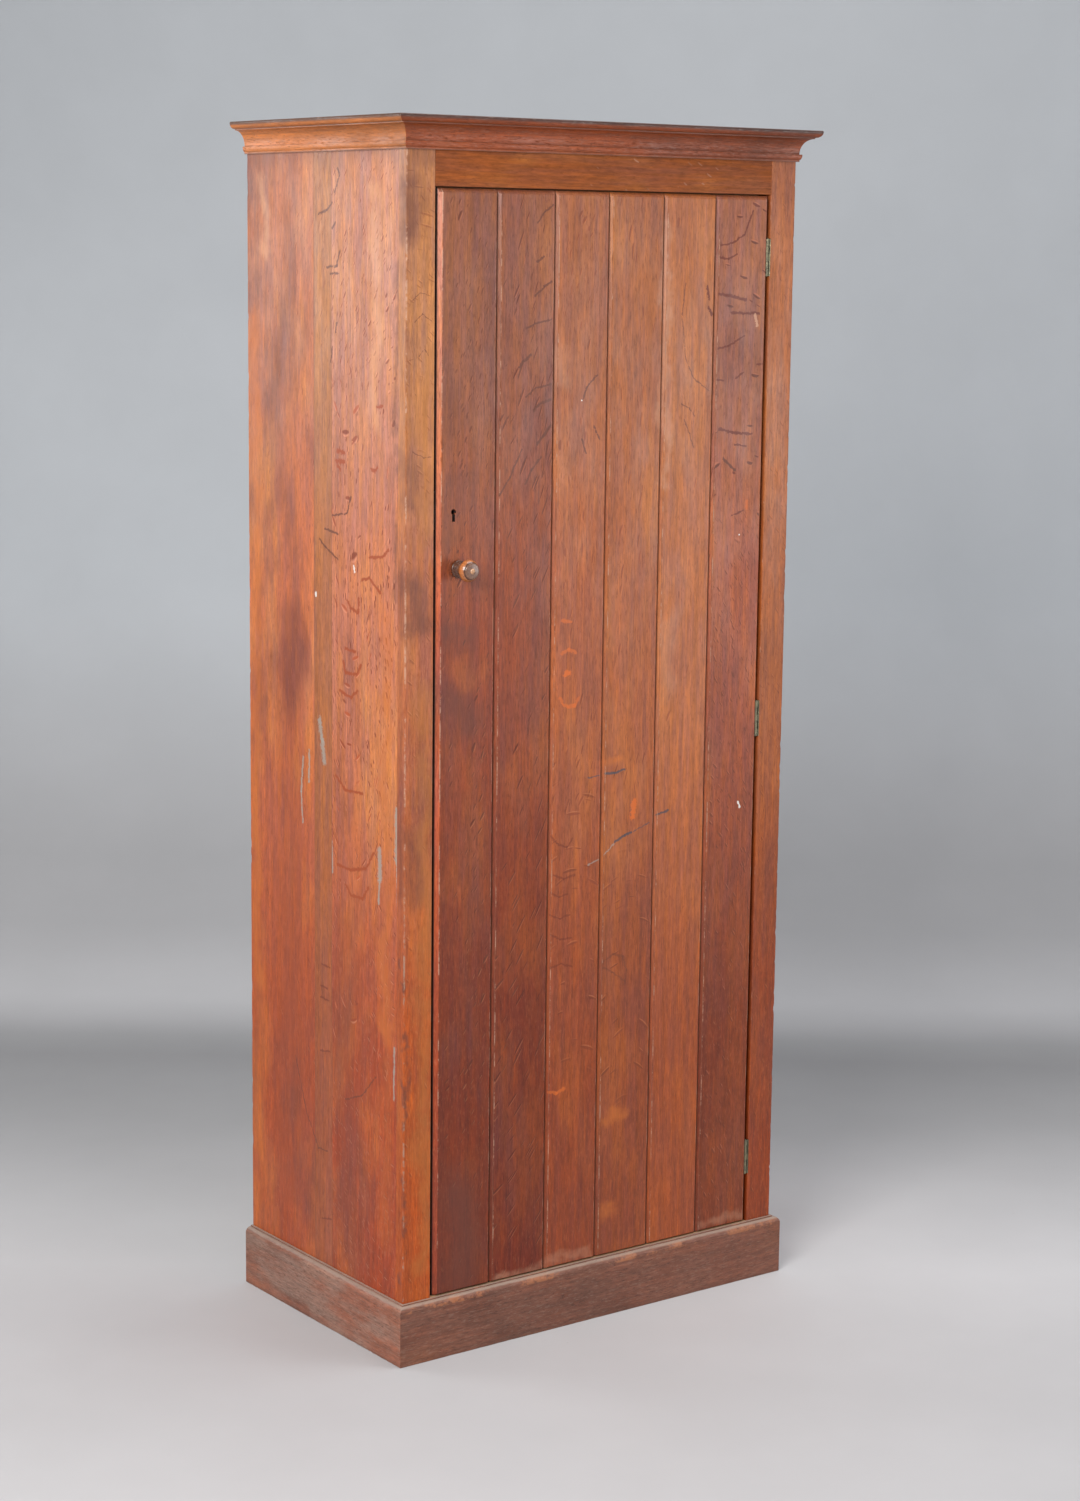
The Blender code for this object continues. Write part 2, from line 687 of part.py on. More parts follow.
def edge_chamfer_tool(name, height, size, upward):
    """Wedge that takes the front arris off the tops or the feet of all planks."""
    outside = height + upward * CUT_OVERRUN
    inside = height - upward * size
    outline = [
        (DOOR_FACE_Y - CUT_OVERRUN, outside),
        (DOOR_FACE_Y - CUT_OVERRUN, inside - upward * CUT_OVERRUN),
        (DOOR_FACE_Y + size + CUT_OVERRUN, outside),
    ]
    return prism(name, outline, DOOR_LEFT - CUT_OVERRUN, DOOR_RIGHT + CUT_OVERRUN, "x")


def make_planks(pivot):
    """Six tongued planks with chamfered joints, and one chamfer round the whole door."""
    top_tool = edge_chamfer_tool("door_top_chamfer_tool", DOOR_TOP, DOOR_EDGE_CHAMFER, 1)
    foot_tool = edge_chamfer_tool("door_foot_chamfer_tool", DOOR_FOOT, DOOR_FOOT_CHAMFER, -1)
    joint = (PLANK_TONGUE_SETBACK, PLANK_TONGUE_THICKNESS, PLANK_TONGUE_LENGTH)
    edges = plank_edges()
    planks = []
    for index, (left, right) in enumerate(edges):
        first = (left, right) == edges[0]
        last = (left, right) == edges[-1]
        chamfers = (
            DOOR_EDGE_CHAMFER if first else PLANK_JOINT_CHAMFER,
            DOOR_EDGE_CHAMFER if last else PLANK_JOINT_CHAMFER,
        )
        outline = tongued_outline(left, right, DOOR_FACE_Y, DOOR_BACK_Y, chamfers, joint, (not first, not last))
        plank = prism("door_plank_%d" % (index + 1), outline, DOOR_FOOT, DOOR_TOP, "z", pivot)
        use_tool(plank, top_tool)
        use_tool(plank, foot_tool)
        finish(plank, OAK_PLANKS[index % len(OAK_PLANKS)])
        planks.append(plank)
    return planks


def make_ledges(pivot):
    """Battens screwed across the back of the planks, with chamfered outer edges."""
    front = DOOR_BACK_Y + SEAT_GAP
    back = front + LEDGE_THICKNESS
    left = DOOR_LEFT + LEDGE_END_SETBACK
    right = DOOR_RIGHT - LEDGE_END_SETBACK
    for word, height in LEDGE_HEIGHTS.items():
        low = height - LEDGE_HEIGHT / 2
        high = height + LEDGE_HEIGHT / 2
        outline = [
            (front, low),
            (back - LEDGE_CHAMFER, low),
            (back, low + LEDGE_CHAMFER),
            (back, high - LEDGE_CHAMFER),
            (back - LEDGE_CHAMFER, high),
            (front, high),
        ]
        finish(prism("door_ledge_" + word, outline, left, right, "x", pivot), OAK_INNER)


def knob_profile():
    """Profile of the knob, from its screw hole out over foot, neck and head to the nipple."""
    hole = SCREW_RADIUS + SCREW_CLEARANCE
    hole_end = SCREW_IN_KNOB + SCREW_CLEARANCE
    ring_start = KNOB_FOOT_THICKNESS + KNOB_GROOVE
    ring_end = ring_start + KNOB_RING_THICKNESS
    rim_end = KNOB_HEAD_REACH + KNOB_RIM_THICKNESS
    nipple_foot = KNOB_LENGTH - KNOB_NIPPLE_RISE
    profile = [(0.0, hole_end), (hole, hole_end), (hole, 0.0), (KNOB_FOOT_RADIUS - KNOB_GROOVE, 0.0)]
    foot = (KNOB_GROOVE, KNOB_FOOT_THICKNESS / 2)
    profile += quarter((KNOB_FOOT_RADIUS - KNOB_GROOVE, KNOB_FOOT_THICKNESS / 2), foot, -60, 90, KNOB_CURVE_STEPS)
    profile.append((KNOB_RING_RADIUS - KNOB_GROOVE, ring_start))
    ring_middle = (KNOB_RING_RADIUS - KNOB_GROOVE, (ring_start + ring_end) / 2)
    profile += quarter(ring_middle, (KNOB_GROOVE, KNOB_RING_THICKNESS / 2), -60, 90, KNOB_CURVE_STEPS)
    profile.append((KNOB_NECK_RADIUS + KNOB_GROOVE, ring_end + KNOB_GROOVE))
    for share in KNOB_NECK_SHARES:
        reach = ring_end + KNOB_GROOVE + (KNOB_NECK_REACH - ring_end - KNOB_GROOVE) * share
        profile.append((KNOB_NECK_RADIUS + KNOB_GROOVE * (1 - share) ** 2, reach))
    bell = (KNOB_HEAD_RADIUS - KNOB_NECK_RADIUS, KNOB_HEAD_REACH - KNOB_NECK_REACH)
    profile += quarter((KNOB_HEAD_RADIUS, KNOB_NECK_REACH), bell, 180, 90, KNOB_CURVE_STEPS)[1:]
    profile.append((KNOB_HEAD_RADIUS, (KNOB_HEAD_REACH + rim_end) / 2))
    shoulder = (KNOB_HEAD_RADIUS - KNOB_SHOULDER_RADIUS, KNOB_SHOULDER_REACH - rim_end)
    profile += quarter((KNOB_SHOULDER_RADIUS, rim_end), shoulder, 0, 90, KNOB_CURVE_STEPS)
    profile.append((KNOB_FACE_RADIUS - KNOB_GROOVE, KNOB_SHOULDER_REACH))
    dome = (KNOB_FACE_RADIUS - KNOB_NIPPLE_RADIUS, nipple_foot - KNOB_FACE_REACH)
    profile += quarter((KNOB_NIPPLE_RADIUS, KNOB_FACE_REACH), dome, 0, 90, KNOB_CURVE_STEPS)
    profile += quarter((0.0, nipple_foot), (KNOB_NIPPLE_RADIUS, KNOB_NIPPLE_RISE), 0, 90, KNOB_CURVE_STEPS)[1:-1]
    profile.append((0.0, KNOB_LENGTH))
    return profile


def make_knob(plank, pivot):
    """Turned knob, and the screw that holds it through the plank."""
    seat = (KNOB_X, DOOR_FACE_Y - SEAT_GAP, KNOB_HEIGHT)
    knob = turned("door_knob", knob_profile(), seat, (0.0, -1.0, 0.0), KNOB_SEGMENTS, pivot)
    finish(knob, KNOB_WOOD)
    back = (KNOB_X, DOOR_BACK_Y, KNOB_HEIGHT)
    length = PLANK_THICKNESS + SEAT_GAP + SCREW_IN_KNOB
    head = SCREW_HEAD_DEPTH
    profile = [(0.0, 0.0), (SCREW_HEAD_RADIUS, 0.0), (SCREW_RADIUS, head), (SCREW_RADIUS, length), (0.0, length)]
    screw = turned("knob_screw", profile, back, (0.0, -1.0, 0.0), SCREW_SEGMENTS, pivot)
    metal(screw, STEEL)
    hole = SCREW_RADIUS + SCREW_CLEARANCE
    mouth = SCREW_HEAD_RADIUS + SCREW_CLEARANCE
    through = PLANK_THICKNESS + CUT_OVERRUN
    bore = [(0.0, -CUT_OVERRUN), (mouth, -CUT_OVERRUN), (mouth, SCREW_CLEARANCE), (hole, head + SCREW_CLEARANCE)]
    bore += [(hole, through), (0.0, through)]
    use_tool(plank, turned("knob_screw_hole_tool", bore, back, (0.0, -1.0, 0.0), SCREW_SEGMENTS))


def keyhole_outline():
    """Round hole with a straight slot below it, as x and z."""
    half = KEYHOLE_SLOT_WIDTH / 2
    turn = math.degrees(math.asin(half / KEYHOLE_RADIUS))
    centre = (KEYHOLE_X, KEYHOLE_HEIGHT)
    radii = (KEYHOLE_RADIUS, KEYHOLE_RADIUS)
    points = quarter(centre, radii, turn - 90, 270 - turn, KEYHOLE_SEGMENTS)
    foot = KEYHOLE_HEIGHT - KEYHOLE_DROP
    points += [(KEYHOLE_X - half, foot), (KEYHOLE_X + half, foot)]
    return points


def make_lock(plank, stile, pivot):
    """Lock let into the back of the first plank, with its bolt, key pin and strike plate."""
    use_tool(plank, prism("keyhole_tool", keyhole_outline(), DOOR_FACE_Y - CUT_OVERRUN, DOOR_BACK_Y, "y"))
    make_lock_case(plank, pivot)
    make_bolt()
    pin_foot = (KEYHOLE_X, DOOR_BACK_Y - LOCK_WALL - SEAT_GAP, KEYHOLE_HEIGHT)
    profile = [(0.0, 0.0), (KEY_PIN_RADIUS, 0.0), (KEY_PIN_RADIUS, KEY_PIN_LENGTH), (0.0, KEY_PIN_LENGTH)]
    metal(turned("lock_key_pin", profile, pin_foot, (0.0, -1.0, 0.0), SCREW_SEGMENTS, pivot), STEEL)
    make_strike(stile)


def make_lock_case(plank, pivot):
    """Shallow steel tray, open towards the plank, with the selvedge on the door's edge."""
    case_left = DOOR_LEFT + SELVEDGE_THICKNESS
    case_right = DOOR_LEFT + LOCK_LENGTH
    back = DOOR_BACK_Y
    case = block("lock_case", (DOOR_LEFT, LOCK_FRONT_Y, LOCK_LOW), (case_right, back, LOCK_HIGH), pivot)
    selvedge_front = BOLT_MIDDLE_Y - SELVEDGE_WIDTH / 2
    selvedge_back = min(BOLT_MIDDLE_Y + SELVEDGE_WIDTH / 2, back)
    selvedge = block(
        "lock_selvedge_tool",
        (DOOR_LEFT, selvedge_front, LOCK_LOW - SELVEDGE_OVERLAP),
        (case_left, selvedge_back, LOCK_HIGH + SELVEDGE_OVERLAP),
    )
    use_tool(case, selvedge, "UNION")
    cavity = block(
        "lock_cavity_tool",
        (case_left, LOCK_FRONT_Y - CUT_OVERRUN - SELVEDGE_WIDTH, LOCK_LOW + LOCK_WALL),
        (case_right - LOCK_WALL, back - LOCK_WALL, LOCK_HIGH - LOCK_WALL),
    )
    use_tool(case, cavity)
    half = BOLT_THICKNESS / 2 + BOLT_CLEARANCE
    slot = block(
        "lock_slot_tool",
        (DOOR_LEFT - CUT_OVERRUN, BOLT_MIDDLE_Y - half, BOLT_LOW - BOLT_CLEARANCE),
        (case_left + CUT_OVERRUN, BOLT_MIDDLE_Y + half, BOLT_HIGH + BOLT_CLEARANCE),
    )
    use_tool(case, slot)
    metal(case, STEEL)
    pocket = block(
        "lock_pocket_tool",
        (DOOR_LEFT - CUT_OVERRUN, LOCK_FRONT_Y - SEAT_GAP, LOCK_LOW - SEAT_GAP),
        (case_right + SEAT_GAP, back + CUT_OVERRUN, LOCK_HIGH + SEAT_GAP),
    )
    gain = block(
        "lock_selvedge_gain_tool",
        (DOOR_LEFT - CUT_OVERRUN, selvedge_front - SEAT_GAP, LOCK_LOW - SELVEDGE_OVERLAP - SEAT_GAP),
        (case_left + SEAT_GAP, back + CUT_OVERRUN, LOCK_HIGH + SELVEDGE_OVERLAP + SEAT_GAP),
    )
    use_tool(pocket, gain, "UNION")
    use_tool(plank, pocket)


def make_bolt():
    """Sliding bolt, with the notch that the key's bit throws it by."""
    left = DOOR_LEFT + SEAT_GAP
    right = left + BOLT_LENGTH
    notch_left = KEYHOLE_X - BOLT_TALON_WIDTH / 2
    notch_right = min(KEYHOLE_X + BOLT_TALON_WIDTH / 2, right - LOCK_WALL)
    notch_top = BOLT_LOW + BOLT_TALON_DEPTH
    outline = [
        (left, BOLT_LOW),
        (notch_left, BOLT_LOW),
        (notch_left, notch_top),
        (notch_right, notch_top),
        (notch_right, BOLT_LOW),
        (right, BOLT_LOW),
        (right, BOLT_HIGH),
        (left, BOLT_HIGH),
    ]
    front = BOLT_MIDDLE_Y - BOLT_THICKNESS / 2
    origin = (left, BOLT_MIDDLE_Y, (BOLT_LOW + BOLT_HIGH) / 2)
    bolt = prism("lock_bolt", outline, front, front + BOLT_THICKNESS, "y", origin)
    metal(bolt, BRASS)


def make_strike(stile):
    """Plate let into the stile's edge, and the mortice behind its hole."""
    half = BOLT_THICKNESS / 2 + BOLT_CLEARANCE
    low = BOLT_LOW - BOLT_CLEARANCE
    high = BOLT_HIGH + BOLT_CLEARANCE
    reach = BOLT_THROW - DOOR_LOCK_GAP + STRIKE_END_SPACE
    plate_front = BOLT_MIDDLE_Y - STRIKE_WIDTH / 2
    plate_back = BOLT_MIDDLE_Y + STRIKE_WIDTH / 2
    plate = block(
        "strike_plate",
        (OPENING_LEFT - STRIKE_THICKNESS, plate_front, low - STRIKE_OVERLAP),
        (OPENING_LEFT, min(plate_back, FRAME_BACK_Y), high + STRIKE_OVERLAP),
    )
    mortice = block(
        "strike_mortice_tool",
        (OPENING_LEFT - reach, BOLT_MIDDLE_Y - half, low),
        (OPENING_LEFT + CUT_OVERRUN, BOLT_MIDDLE_Y + half, high),
    )
    gain = block(
        "strike_gain_tool",
        (OPENING_LEFT - STRIKE_THICKNESS - SEAT_GAP, plate_front - SEAT_GAP, low - STRIKE_OVERLAP - SEAT_GAP),
        (OPENING_LEFT + CUT_OVERRUN, FRAME_BACK_Y + CUT_OVERRUN, high + STRIKE_OVERLAP + SEAT_GAP),
    )
    use_tool(plate, mortice)
    use_tool(stile, gain)
    use_tool(stile, mortice)
    metal(plate, BRASS)


def ring(name, radius, bore, low, high):
    """Tube about the hinge pin's axis."""
    points = []
    for size in (radius, bore):
        for level in (low, high):
            for step in range(HINGE_SEGMENTS):
                angle = 2 * math.pi * step / HINGE_SEGMENTS
                points.append((PIN_X + size * math.cos(angle), PIN_Y + size * math.sin(angle), level))
    count = HINGE_SEGMENTS
    faces = []
    for step in range(count):
        after = (step + 1) % count
        outer_low, outer_high, inner_low, inner_high = (step + k * count for k in range(4))
        next_outer_low, next_outer_high, next_inner_low, next_inner_high = (after + k * count for k in range(4))
        faces.append((outer_low, next_outer_low, next_outer_high, outer_high))
        faces.append((inner_low, inner_high, next_inner_high, next_inner_low))
        faces.append((outer_high, next_outer_high, next_inner_high, inner_high))
        faces.append((outer_low, inner_low, next_inner_low, next_outer_low))
    return object_from(name, points, faces)


def knuckle_spans(middle):
    """Low and high end of each knuckle of one hinge, from its foot."""
    length = HINGE_LENGTH / HINGE_KNUCKLE_COUNT
    foot = middle - HINGE_LENGTH / 2
    trim = KNUCKLE_CLEARANCE / 2
    spans = []
    for number in range(HINGE_KNUCKLE_COUNT):
        spans.append((foot + number * length + trim, foot + (number + 1) * length - trim))
    return spans


def make_leaf(name, plate_low, plate_high, webs, spans, origin):
    """Hinge leaf: a plate, and a web and a knuckle at each of its spans."""
    leaf = block(name, plate_low, plate_high, origin)
    for number, (low, high) in enumerate(spans):
        tool_name = name + "_knuckle_%d_tool" % number
        web = block(tool_name + "_web", (webs[0][0], webs[0][1], low), (webs[1][0], webs[1][1], high))
        use_tool(leaf, web, "UNION")
        use_tool(leaf, ring(tool_name, KNUCKLE_RADIUS, KNUCKLE_BORE, low, high), "UNION")
    leaf.data.shade_smooth()
    return metal(leaf, BRASS)


def make_hinge(word, middle, plank, stile, pivot):
    """Butt hinge let into the edges of the last plank and of the right stile."""
    low = middle - HINGE_LENGTH / 2
    high = middle + HINGE_LENGTH / 2
    spans = knuckle_spans(middle)
    frame_front = FRONT_Y + LEAF_FRONT_SETBACK
    frame_back = PIN_Y + KNUCKLE_RADIUS + KNUCKLE_CLEARANCE + LEAF_WIDTH
    make_leaf(
        "hinge_%s_frame_leaf" % word,
        (OPENING_RIGHT, frame_front, low),
        (OPENING_RIGHT + LEAF_THICKNESS, min(frame_back, FRAME_BACK_Y), high),
        ((PIN_X + KNUCKLE_BORE + SEAT_GAP, PIN_Y - WEB_HALF_THICKNESS),
         (OPENING_RIGHT + LEAF_THICKNESS, PIN_Y + WEB_HALF_THICKNESS)),
        spans[0::2],
        (PIN_X, PIN_Y, middle),
    )
    door_front = PIN_Y + KNUCKLE_RADIUS + KNUCKLE_CLEARANCE
    door_back = min(door_front + LEAF_WIDTH, DOOR_BACK_Y)
    leaf_left = DOOR_RIGHT - LEAF_THICKNESS
    make_leaf(
        "hinge_%s_door_leaf" % word,
        (leaf_left, door_front, low),
        (DOOR_RIGHT, door_back, high),
        ((leaf_left, PIN_Y + KNUCKLE_BORE + SEAT_GAP), (DOOR_RIGHT, door_front + LEAF_THICKNESS)),
        spans[1::2],
        pivot,
    )
    foot = (PIN_X, PIN_Y, low - PIN_END_PROUD)
    length = HINGE_LENGTH + PIN_END_PROUD + PIN_END_PROUD
    profile = [(0.0, 0.0), (PIN_RADIUS, 0.0), (PIN_RADIUS, length), (0.0, length)]
    metal(turned("hinge_%s_pin" % word, profile, foot, (0.0, 0.0, 1.0), SCREW_SEGMENTS), BRASS)
    cut_hinge_gains(word, low, high, plank, stile)


def cut_hinge_gains(word, low, high, plank, stile):
    """Shallow recesses for both leaves, and a cove in the door's edge for the knuckles."""
    door_gain = block(
        "hinge_%s_door_gain_tool" % word,
        (DOOR_RIGHT - LEAF_THICKNESS - SEAT_GAP, PIN_Y, low - SEAT_GAP),
        (DOOR_RIGHT + CUT_OVERRUN, DOOR_BACK_Y + CUT_OVERRUN, high + SEAT_GAP),
    )
    frame_gain = block(
        "hinge_%s_frame_gain_tool" % word,
        (OPENING_RIGHT - CUT_OVERRUN, FRONT_Y - CUT_OVERRUN, low - SEAT_GAP),
        (OPENING_RIGHT + LEAF_THICKNESS + SEAT_GAP, FRAME_BACK_Y + CUT_OVERRUN, high + SEAT_GAP),
    )
    cove = KNUCKLE_RADIUS + KNUCKLE_CLEARANCE
    cove_low = low - PIN_END_PROUD - KNUCKLE_CLEARANCE
    cove_length = HINGE_LENGTH + 2 * (PIN_END_PROUD + KNUCKLE_CLEARANCE)
    profile = [(0.0, 0.0), (cove, 0.0), (cove, cove_length), (0.0, cove_length)]
    foot = (PIN_X, PIN_Y, cove_low)
    door_cove = turned("hinge_%s_cove_tool" % word, profile, foot, (0.0, 0.0, 1.0), HINGE_SEGMENTS)
    use_tool(plank, door_gain)
    use_tool(plank, door_cove)
    use_tool(stile, frame_gain)


def make_cupboard():
    """Build every piece."""
    clear_objects()
    pivot = (PIN_X, PIN_Y, DOOR_FOOT)
    make_mouldings()
    left_stile, right_stile = make_face_frame()
    make_side_panel("left_side_panel", -1)
    make_side_panel("right_side_panel", 1)
    make_floor_and_top()
    make_back_boards()
    make_shelves()
    make_stops()
    planks = make_planks(pivot)
    make_ledges(pivot)
    make_knob(planks[0], pivot)
    make_lock(planks[0], left_stile, pivot)
    for word, middle in HINGE_HEIGHTS.items():
        make_hinge(word, middle, planks[-1], right_stile, pivot)


make_cupboard()
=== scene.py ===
"""Looks of the tall oak cupboard: worn, stained quarter-sawn oak, old brass and a plain studio.

Sizes are in metres in the cupboard's own frame: +Z up, the door faces -Y.
"""

import math
from collections import namedtuple
from types import SimpleNamespace

import bmesh
import bpy
import numpy as np
from mathutils import Matrix, Vector


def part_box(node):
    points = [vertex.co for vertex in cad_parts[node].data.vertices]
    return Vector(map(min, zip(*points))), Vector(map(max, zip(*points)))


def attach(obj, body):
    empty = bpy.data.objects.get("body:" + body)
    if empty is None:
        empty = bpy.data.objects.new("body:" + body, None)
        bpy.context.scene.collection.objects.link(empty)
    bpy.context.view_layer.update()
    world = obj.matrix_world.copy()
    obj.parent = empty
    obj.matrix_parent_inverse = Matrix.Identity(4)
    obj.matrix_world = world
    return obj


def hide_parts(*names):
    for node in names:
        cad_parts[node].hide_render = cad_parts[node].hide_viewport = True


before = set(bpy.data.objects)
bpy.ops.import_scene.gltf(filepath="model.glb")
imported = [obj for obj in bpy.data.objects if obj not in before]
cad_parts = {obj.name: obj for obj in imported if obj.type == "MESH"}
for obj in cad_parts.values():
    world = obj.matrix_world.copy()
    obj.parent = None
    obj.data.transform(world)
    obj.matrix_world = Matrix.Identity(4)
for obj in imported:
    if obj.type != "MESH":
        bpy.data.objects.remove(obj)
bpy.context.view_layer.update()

# Words in the names of pieces
SIDE_WORDS = {-1: "left", 1: "right"}
LEVEL_WORDS = ("top", "middle", "bottom")
SHELVES = ("shelf_1", "shelf_2", "shelf_3", "shelf_4")
PLANK_COUNT = 6
BACK_COUNT = 5

# Fineness of the shapes
SMOOTH_ANGLE = 38.0
MERGE_DISTANCE = 1e-6
SUPPORT_SHARE = 1.6
SIDE_PITCH = 0.006
STILE_PITCH = 0.004
RAIL_PITCH = 0.008
MOULDING_PITCH = 0.006

# Nicks in worn arrises: how many, and their depth and width
PLANK_NICKS = (26, 0.0007, 0.003)
STILE_NICKS = (60, 0.0010, 0.004)
RAIL_NICKS = (18, 0.0006, 0.005)
SIDE_NICKS = (50, 0.0012, 0.005)
MOULDING_NICKS = (44, 0.0011, 0.005)
RAIL_NICK_SPAN = (-0.3, 0.3)
MOULDING_NICK_SPAN = (-0.4, 0.4)
PLANK_SWAY = 0.00018
PLANK_SWAY_PITCH = 0.05

# Door planks
TONGUE_SETBACK = 0.0075
TONGUE_THICKNESS = 0.0050
TONGUE_LENGTH = 0.0060
GROOVE_CLEARANCE = 0.0004
DOOR_CHAMFER = 0.0065
FOOT_CHAMFER = 0.0015
JOINT_CHAMFER = 0.0044
ARRIS_ROUND = 0.0011
VALLEY_ROUND = 0.0004
PLANK_END_STEPS = (0.0005, FOOT_CHAMFER, 0.003, DOOR_CHAMFER, 0.009)

# Carcass
WOOD_ARRIS = 0.0008
METAL_ARRIS = 0.0002
STILE_ARRIS = 0.0016
INNER_ARRIS = 0.0009
RAIL_BACK_ARRIS = 0.0005
REBATE_ARRIS = 0.0004
RAIL_END_GAP = 0.0001
OUTER_ARRIS_FROM = 0.345
BACK_REBATE = 0.0095
BACK_BOARD_SEAT = 0.0113
JOINT_FILL = 0.0002
SIDE_JOINTS = (-0.001, 0.047)
GLUE_LINE = 0.0003
CARCASS_HALF = -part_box("left_stile")[0].x
CARCASS_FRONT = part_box("left_stile")[0].y
CARCASS_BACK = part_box("left_side_panel")[1].y

# Lock, keyhole, knob screw, hinges and strike plate: the holes and recesses that hold them
SEAT_GAP = 0.0003
OVERRUN = 0.004
KEYHOLE_RADIUS = 0.0043
KEYHOLE_HALF_SLOT = 0.0025
KEYHOLE_DROP = 0.0142
KEYHOLE_END = 0.002
SCREW_RADIUS = 0.0025
SCREW_HEAD_DEPTH = 0.0033
SCREW_REACH = 0.03
POCKET_DEPTH = 0.0093
SELVEDGE_END = 0.007
SELVEDGE_DEPTH = 0.0018
LEAF_DEPTH = 0.0015
COVE_RADIUS = 0.003
BOLT_GAP = 0.0004
MORTICE_DEPTH = 0.0078

# Screw heads and nails
HINGE_SCREW = 0.0030
LEDGE_SCREW = 0.0042
LOCK_SCREW = 0.0024
LEAF_SCREW_INSET = 0.0055
LOCK_SCREW_INSET = 0.0125
LOCK_SCREW_NEAR = 0.008
LOCK_SCREW_FAR = 0.006
SELVEDGE_SCREW_INSET = 0.0035
SELVEDGE_SCREW_FORWARD = 0.001
STRIKE_SCREW_INSET = 0.005
LEAF_SCREW_SHARES = (0.16, 0.5, 0.84)
LEDGE_SCREW_SHARES = (0.27, 0.73)
SCREW_PROUD = 0.0002
HALF_SLOT_SHARE = 0.13
SLOT_DEPTH = 0.0007
RIM_DROP = 0.0003
NAIL_RADIUS = 0.0021
NAIL_SUNK = 0.0003
NAIL_LOWEST = 0.086
NAIL_RISE = 0.008
NAIL_SHARES = (0.24, 0.76)
HOLE_RADIUS = 0.0024
HOLE_DEPTH = 0.0007
HOLE_OVERRUN = 0.001

# Cornice, from its nose down
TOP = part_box("cornice_front")[1].z
CORNICE_HEIGHT = 0.047
CORNICE_REACH = 0.0293
NOSE_TOP_ROUND = 0.0018
NOSE_DEPTH = 0.0106
NOSE_UNDER_REACH = 0.0215
FILLET_REACH = 0.0203
FILLET_DEPTH = 0.0018
CAVETTO_HEIGHT = 0.0226
CAVETTO_FOOT_REACH = 0.0036
BEAD_LIP_REACH = 0.0068
BEAD_LIP_RISE = 0.0010
BEAD_LIP_EDGE = 0.0011
BEAD_HEIGHT = 0.0070
BEAD_FOOT_REACH = 0.0038
CORNICE_CORNER = 0.0009
SOOT_DEPTH = 0.0075
SOOT_FADE = 0.0025

# Plinth
PLINTH_HEIGHT = 0.094
PLINTH_REACH = 0.0132
PLINTH_LEDGE = 0.0040
LEDGE_BEVEL = 0.0005
PLINTH_QUIRK = 0.0020
PLINTH_QUIRK_FLAT = 0.0012
PLINTH_OVOLO_HEIGHT = 0.0088
PLINTH_FLAT_TOP_GAP = 0.004
PLINTH_FLAT_FOOT_GAP = 0.012
PLINTH_FOOT_ROUND = 0.0014
PLINTH_CORNER = 0.0015
MOULDING_SEAT = 0.0003
MITRE_TRIM_SHARE = 0.04

# Knob: distance out from the door and radius, from the foot to the nipple
KNOB_RINGS = (
    (0.0000, 0.0121), (0.0006, 0.0127), (0.0018, 0.0129), (0.0030, 0.0126), (0.0035, 0.0119),
    (0.0040, 0.0102), (0.0046, 0.0104), (0.0058, 0.0109), (0.0070, 0.0103), (0.0075, 0.0092),
    (0.0080, 0.0078), (0.0100, 0.0069), (0.0120, 0.0066), (0.0142, 0.0067), (0.0166, 0.0074),
    (0.0192, 0.0091), (0.0214, 0.0115), (0.0232, 0.0140), (0.0246, 0.0156), (0.0262, 0.0163),
    (0.0282, 0.0162), (0.0302, 0.0154), (0.0320, 0.0142), (0.0332, 0.0131), (0.0338, 0.0124),
    (0.0342, 0.0121), (0.0350, 0.0122), (0.0358, 0.0119), (0.0364, 0.0112), (0.0367, 0.0100),
    (0.0368, 0.0080), (0.0369, 0.0050), (0.0371, 0.0037), (0.0377, 0.0035), (0.0384, 0.0028),
    (0.0389, 0.0015), (0.0390, 0.0000),
)
KNOB_SEGMENTS = 96

# Camera: its place, its turn from +Y to +X, its dip and roll in radians, and its lens and
# sensor in millimetres
CAMERA_PLACE = (-2.6526, -3.63675, 1.6505)
VIEW_YAW = 0.63536
VIEW_PITCH = 0.1717
VIEW_ROLL = 0.01148
LENS = 69.70
SENSOR_WIDTH = 36.0
VIEW_RANGE = 60.0

# Backdrop, with its paleness by the run away from the camera, along the floor and up the sweep: painted light
# and shade, darker in bands
FLOOR_FLAT = 1.5
FLOOR_SWEEP = 1.5
WALL_TOP = 4.4
SQUARE_POWER = 10
FLOOR_PAINTED_SHADING = (
    (-0.60, 0.51), (-0.20, 0.545), (0.05, 0.60), (0.25, 0.565), (0.50, 0.475), (0.85, 0.36), (1.29, 0.29),
    (1.44, 0.34), (1.58, 0.46), (1.70, 0.53), (1.85, 0.50), (2.05, 0.435), (2.30, 0.42), (2.65, 0.50),
    (3.05, 0.585), (3.70, 0.615), (4.30, 0.565),
)

# Directions of boards
ALONG_X = (0.0, math.pi / 2, 0.0)
ALONG_Y = (math.pi / 2, 0.0, 0.0)
FACING_SIDE = (0.0, 0.0, -math.pi / 2)

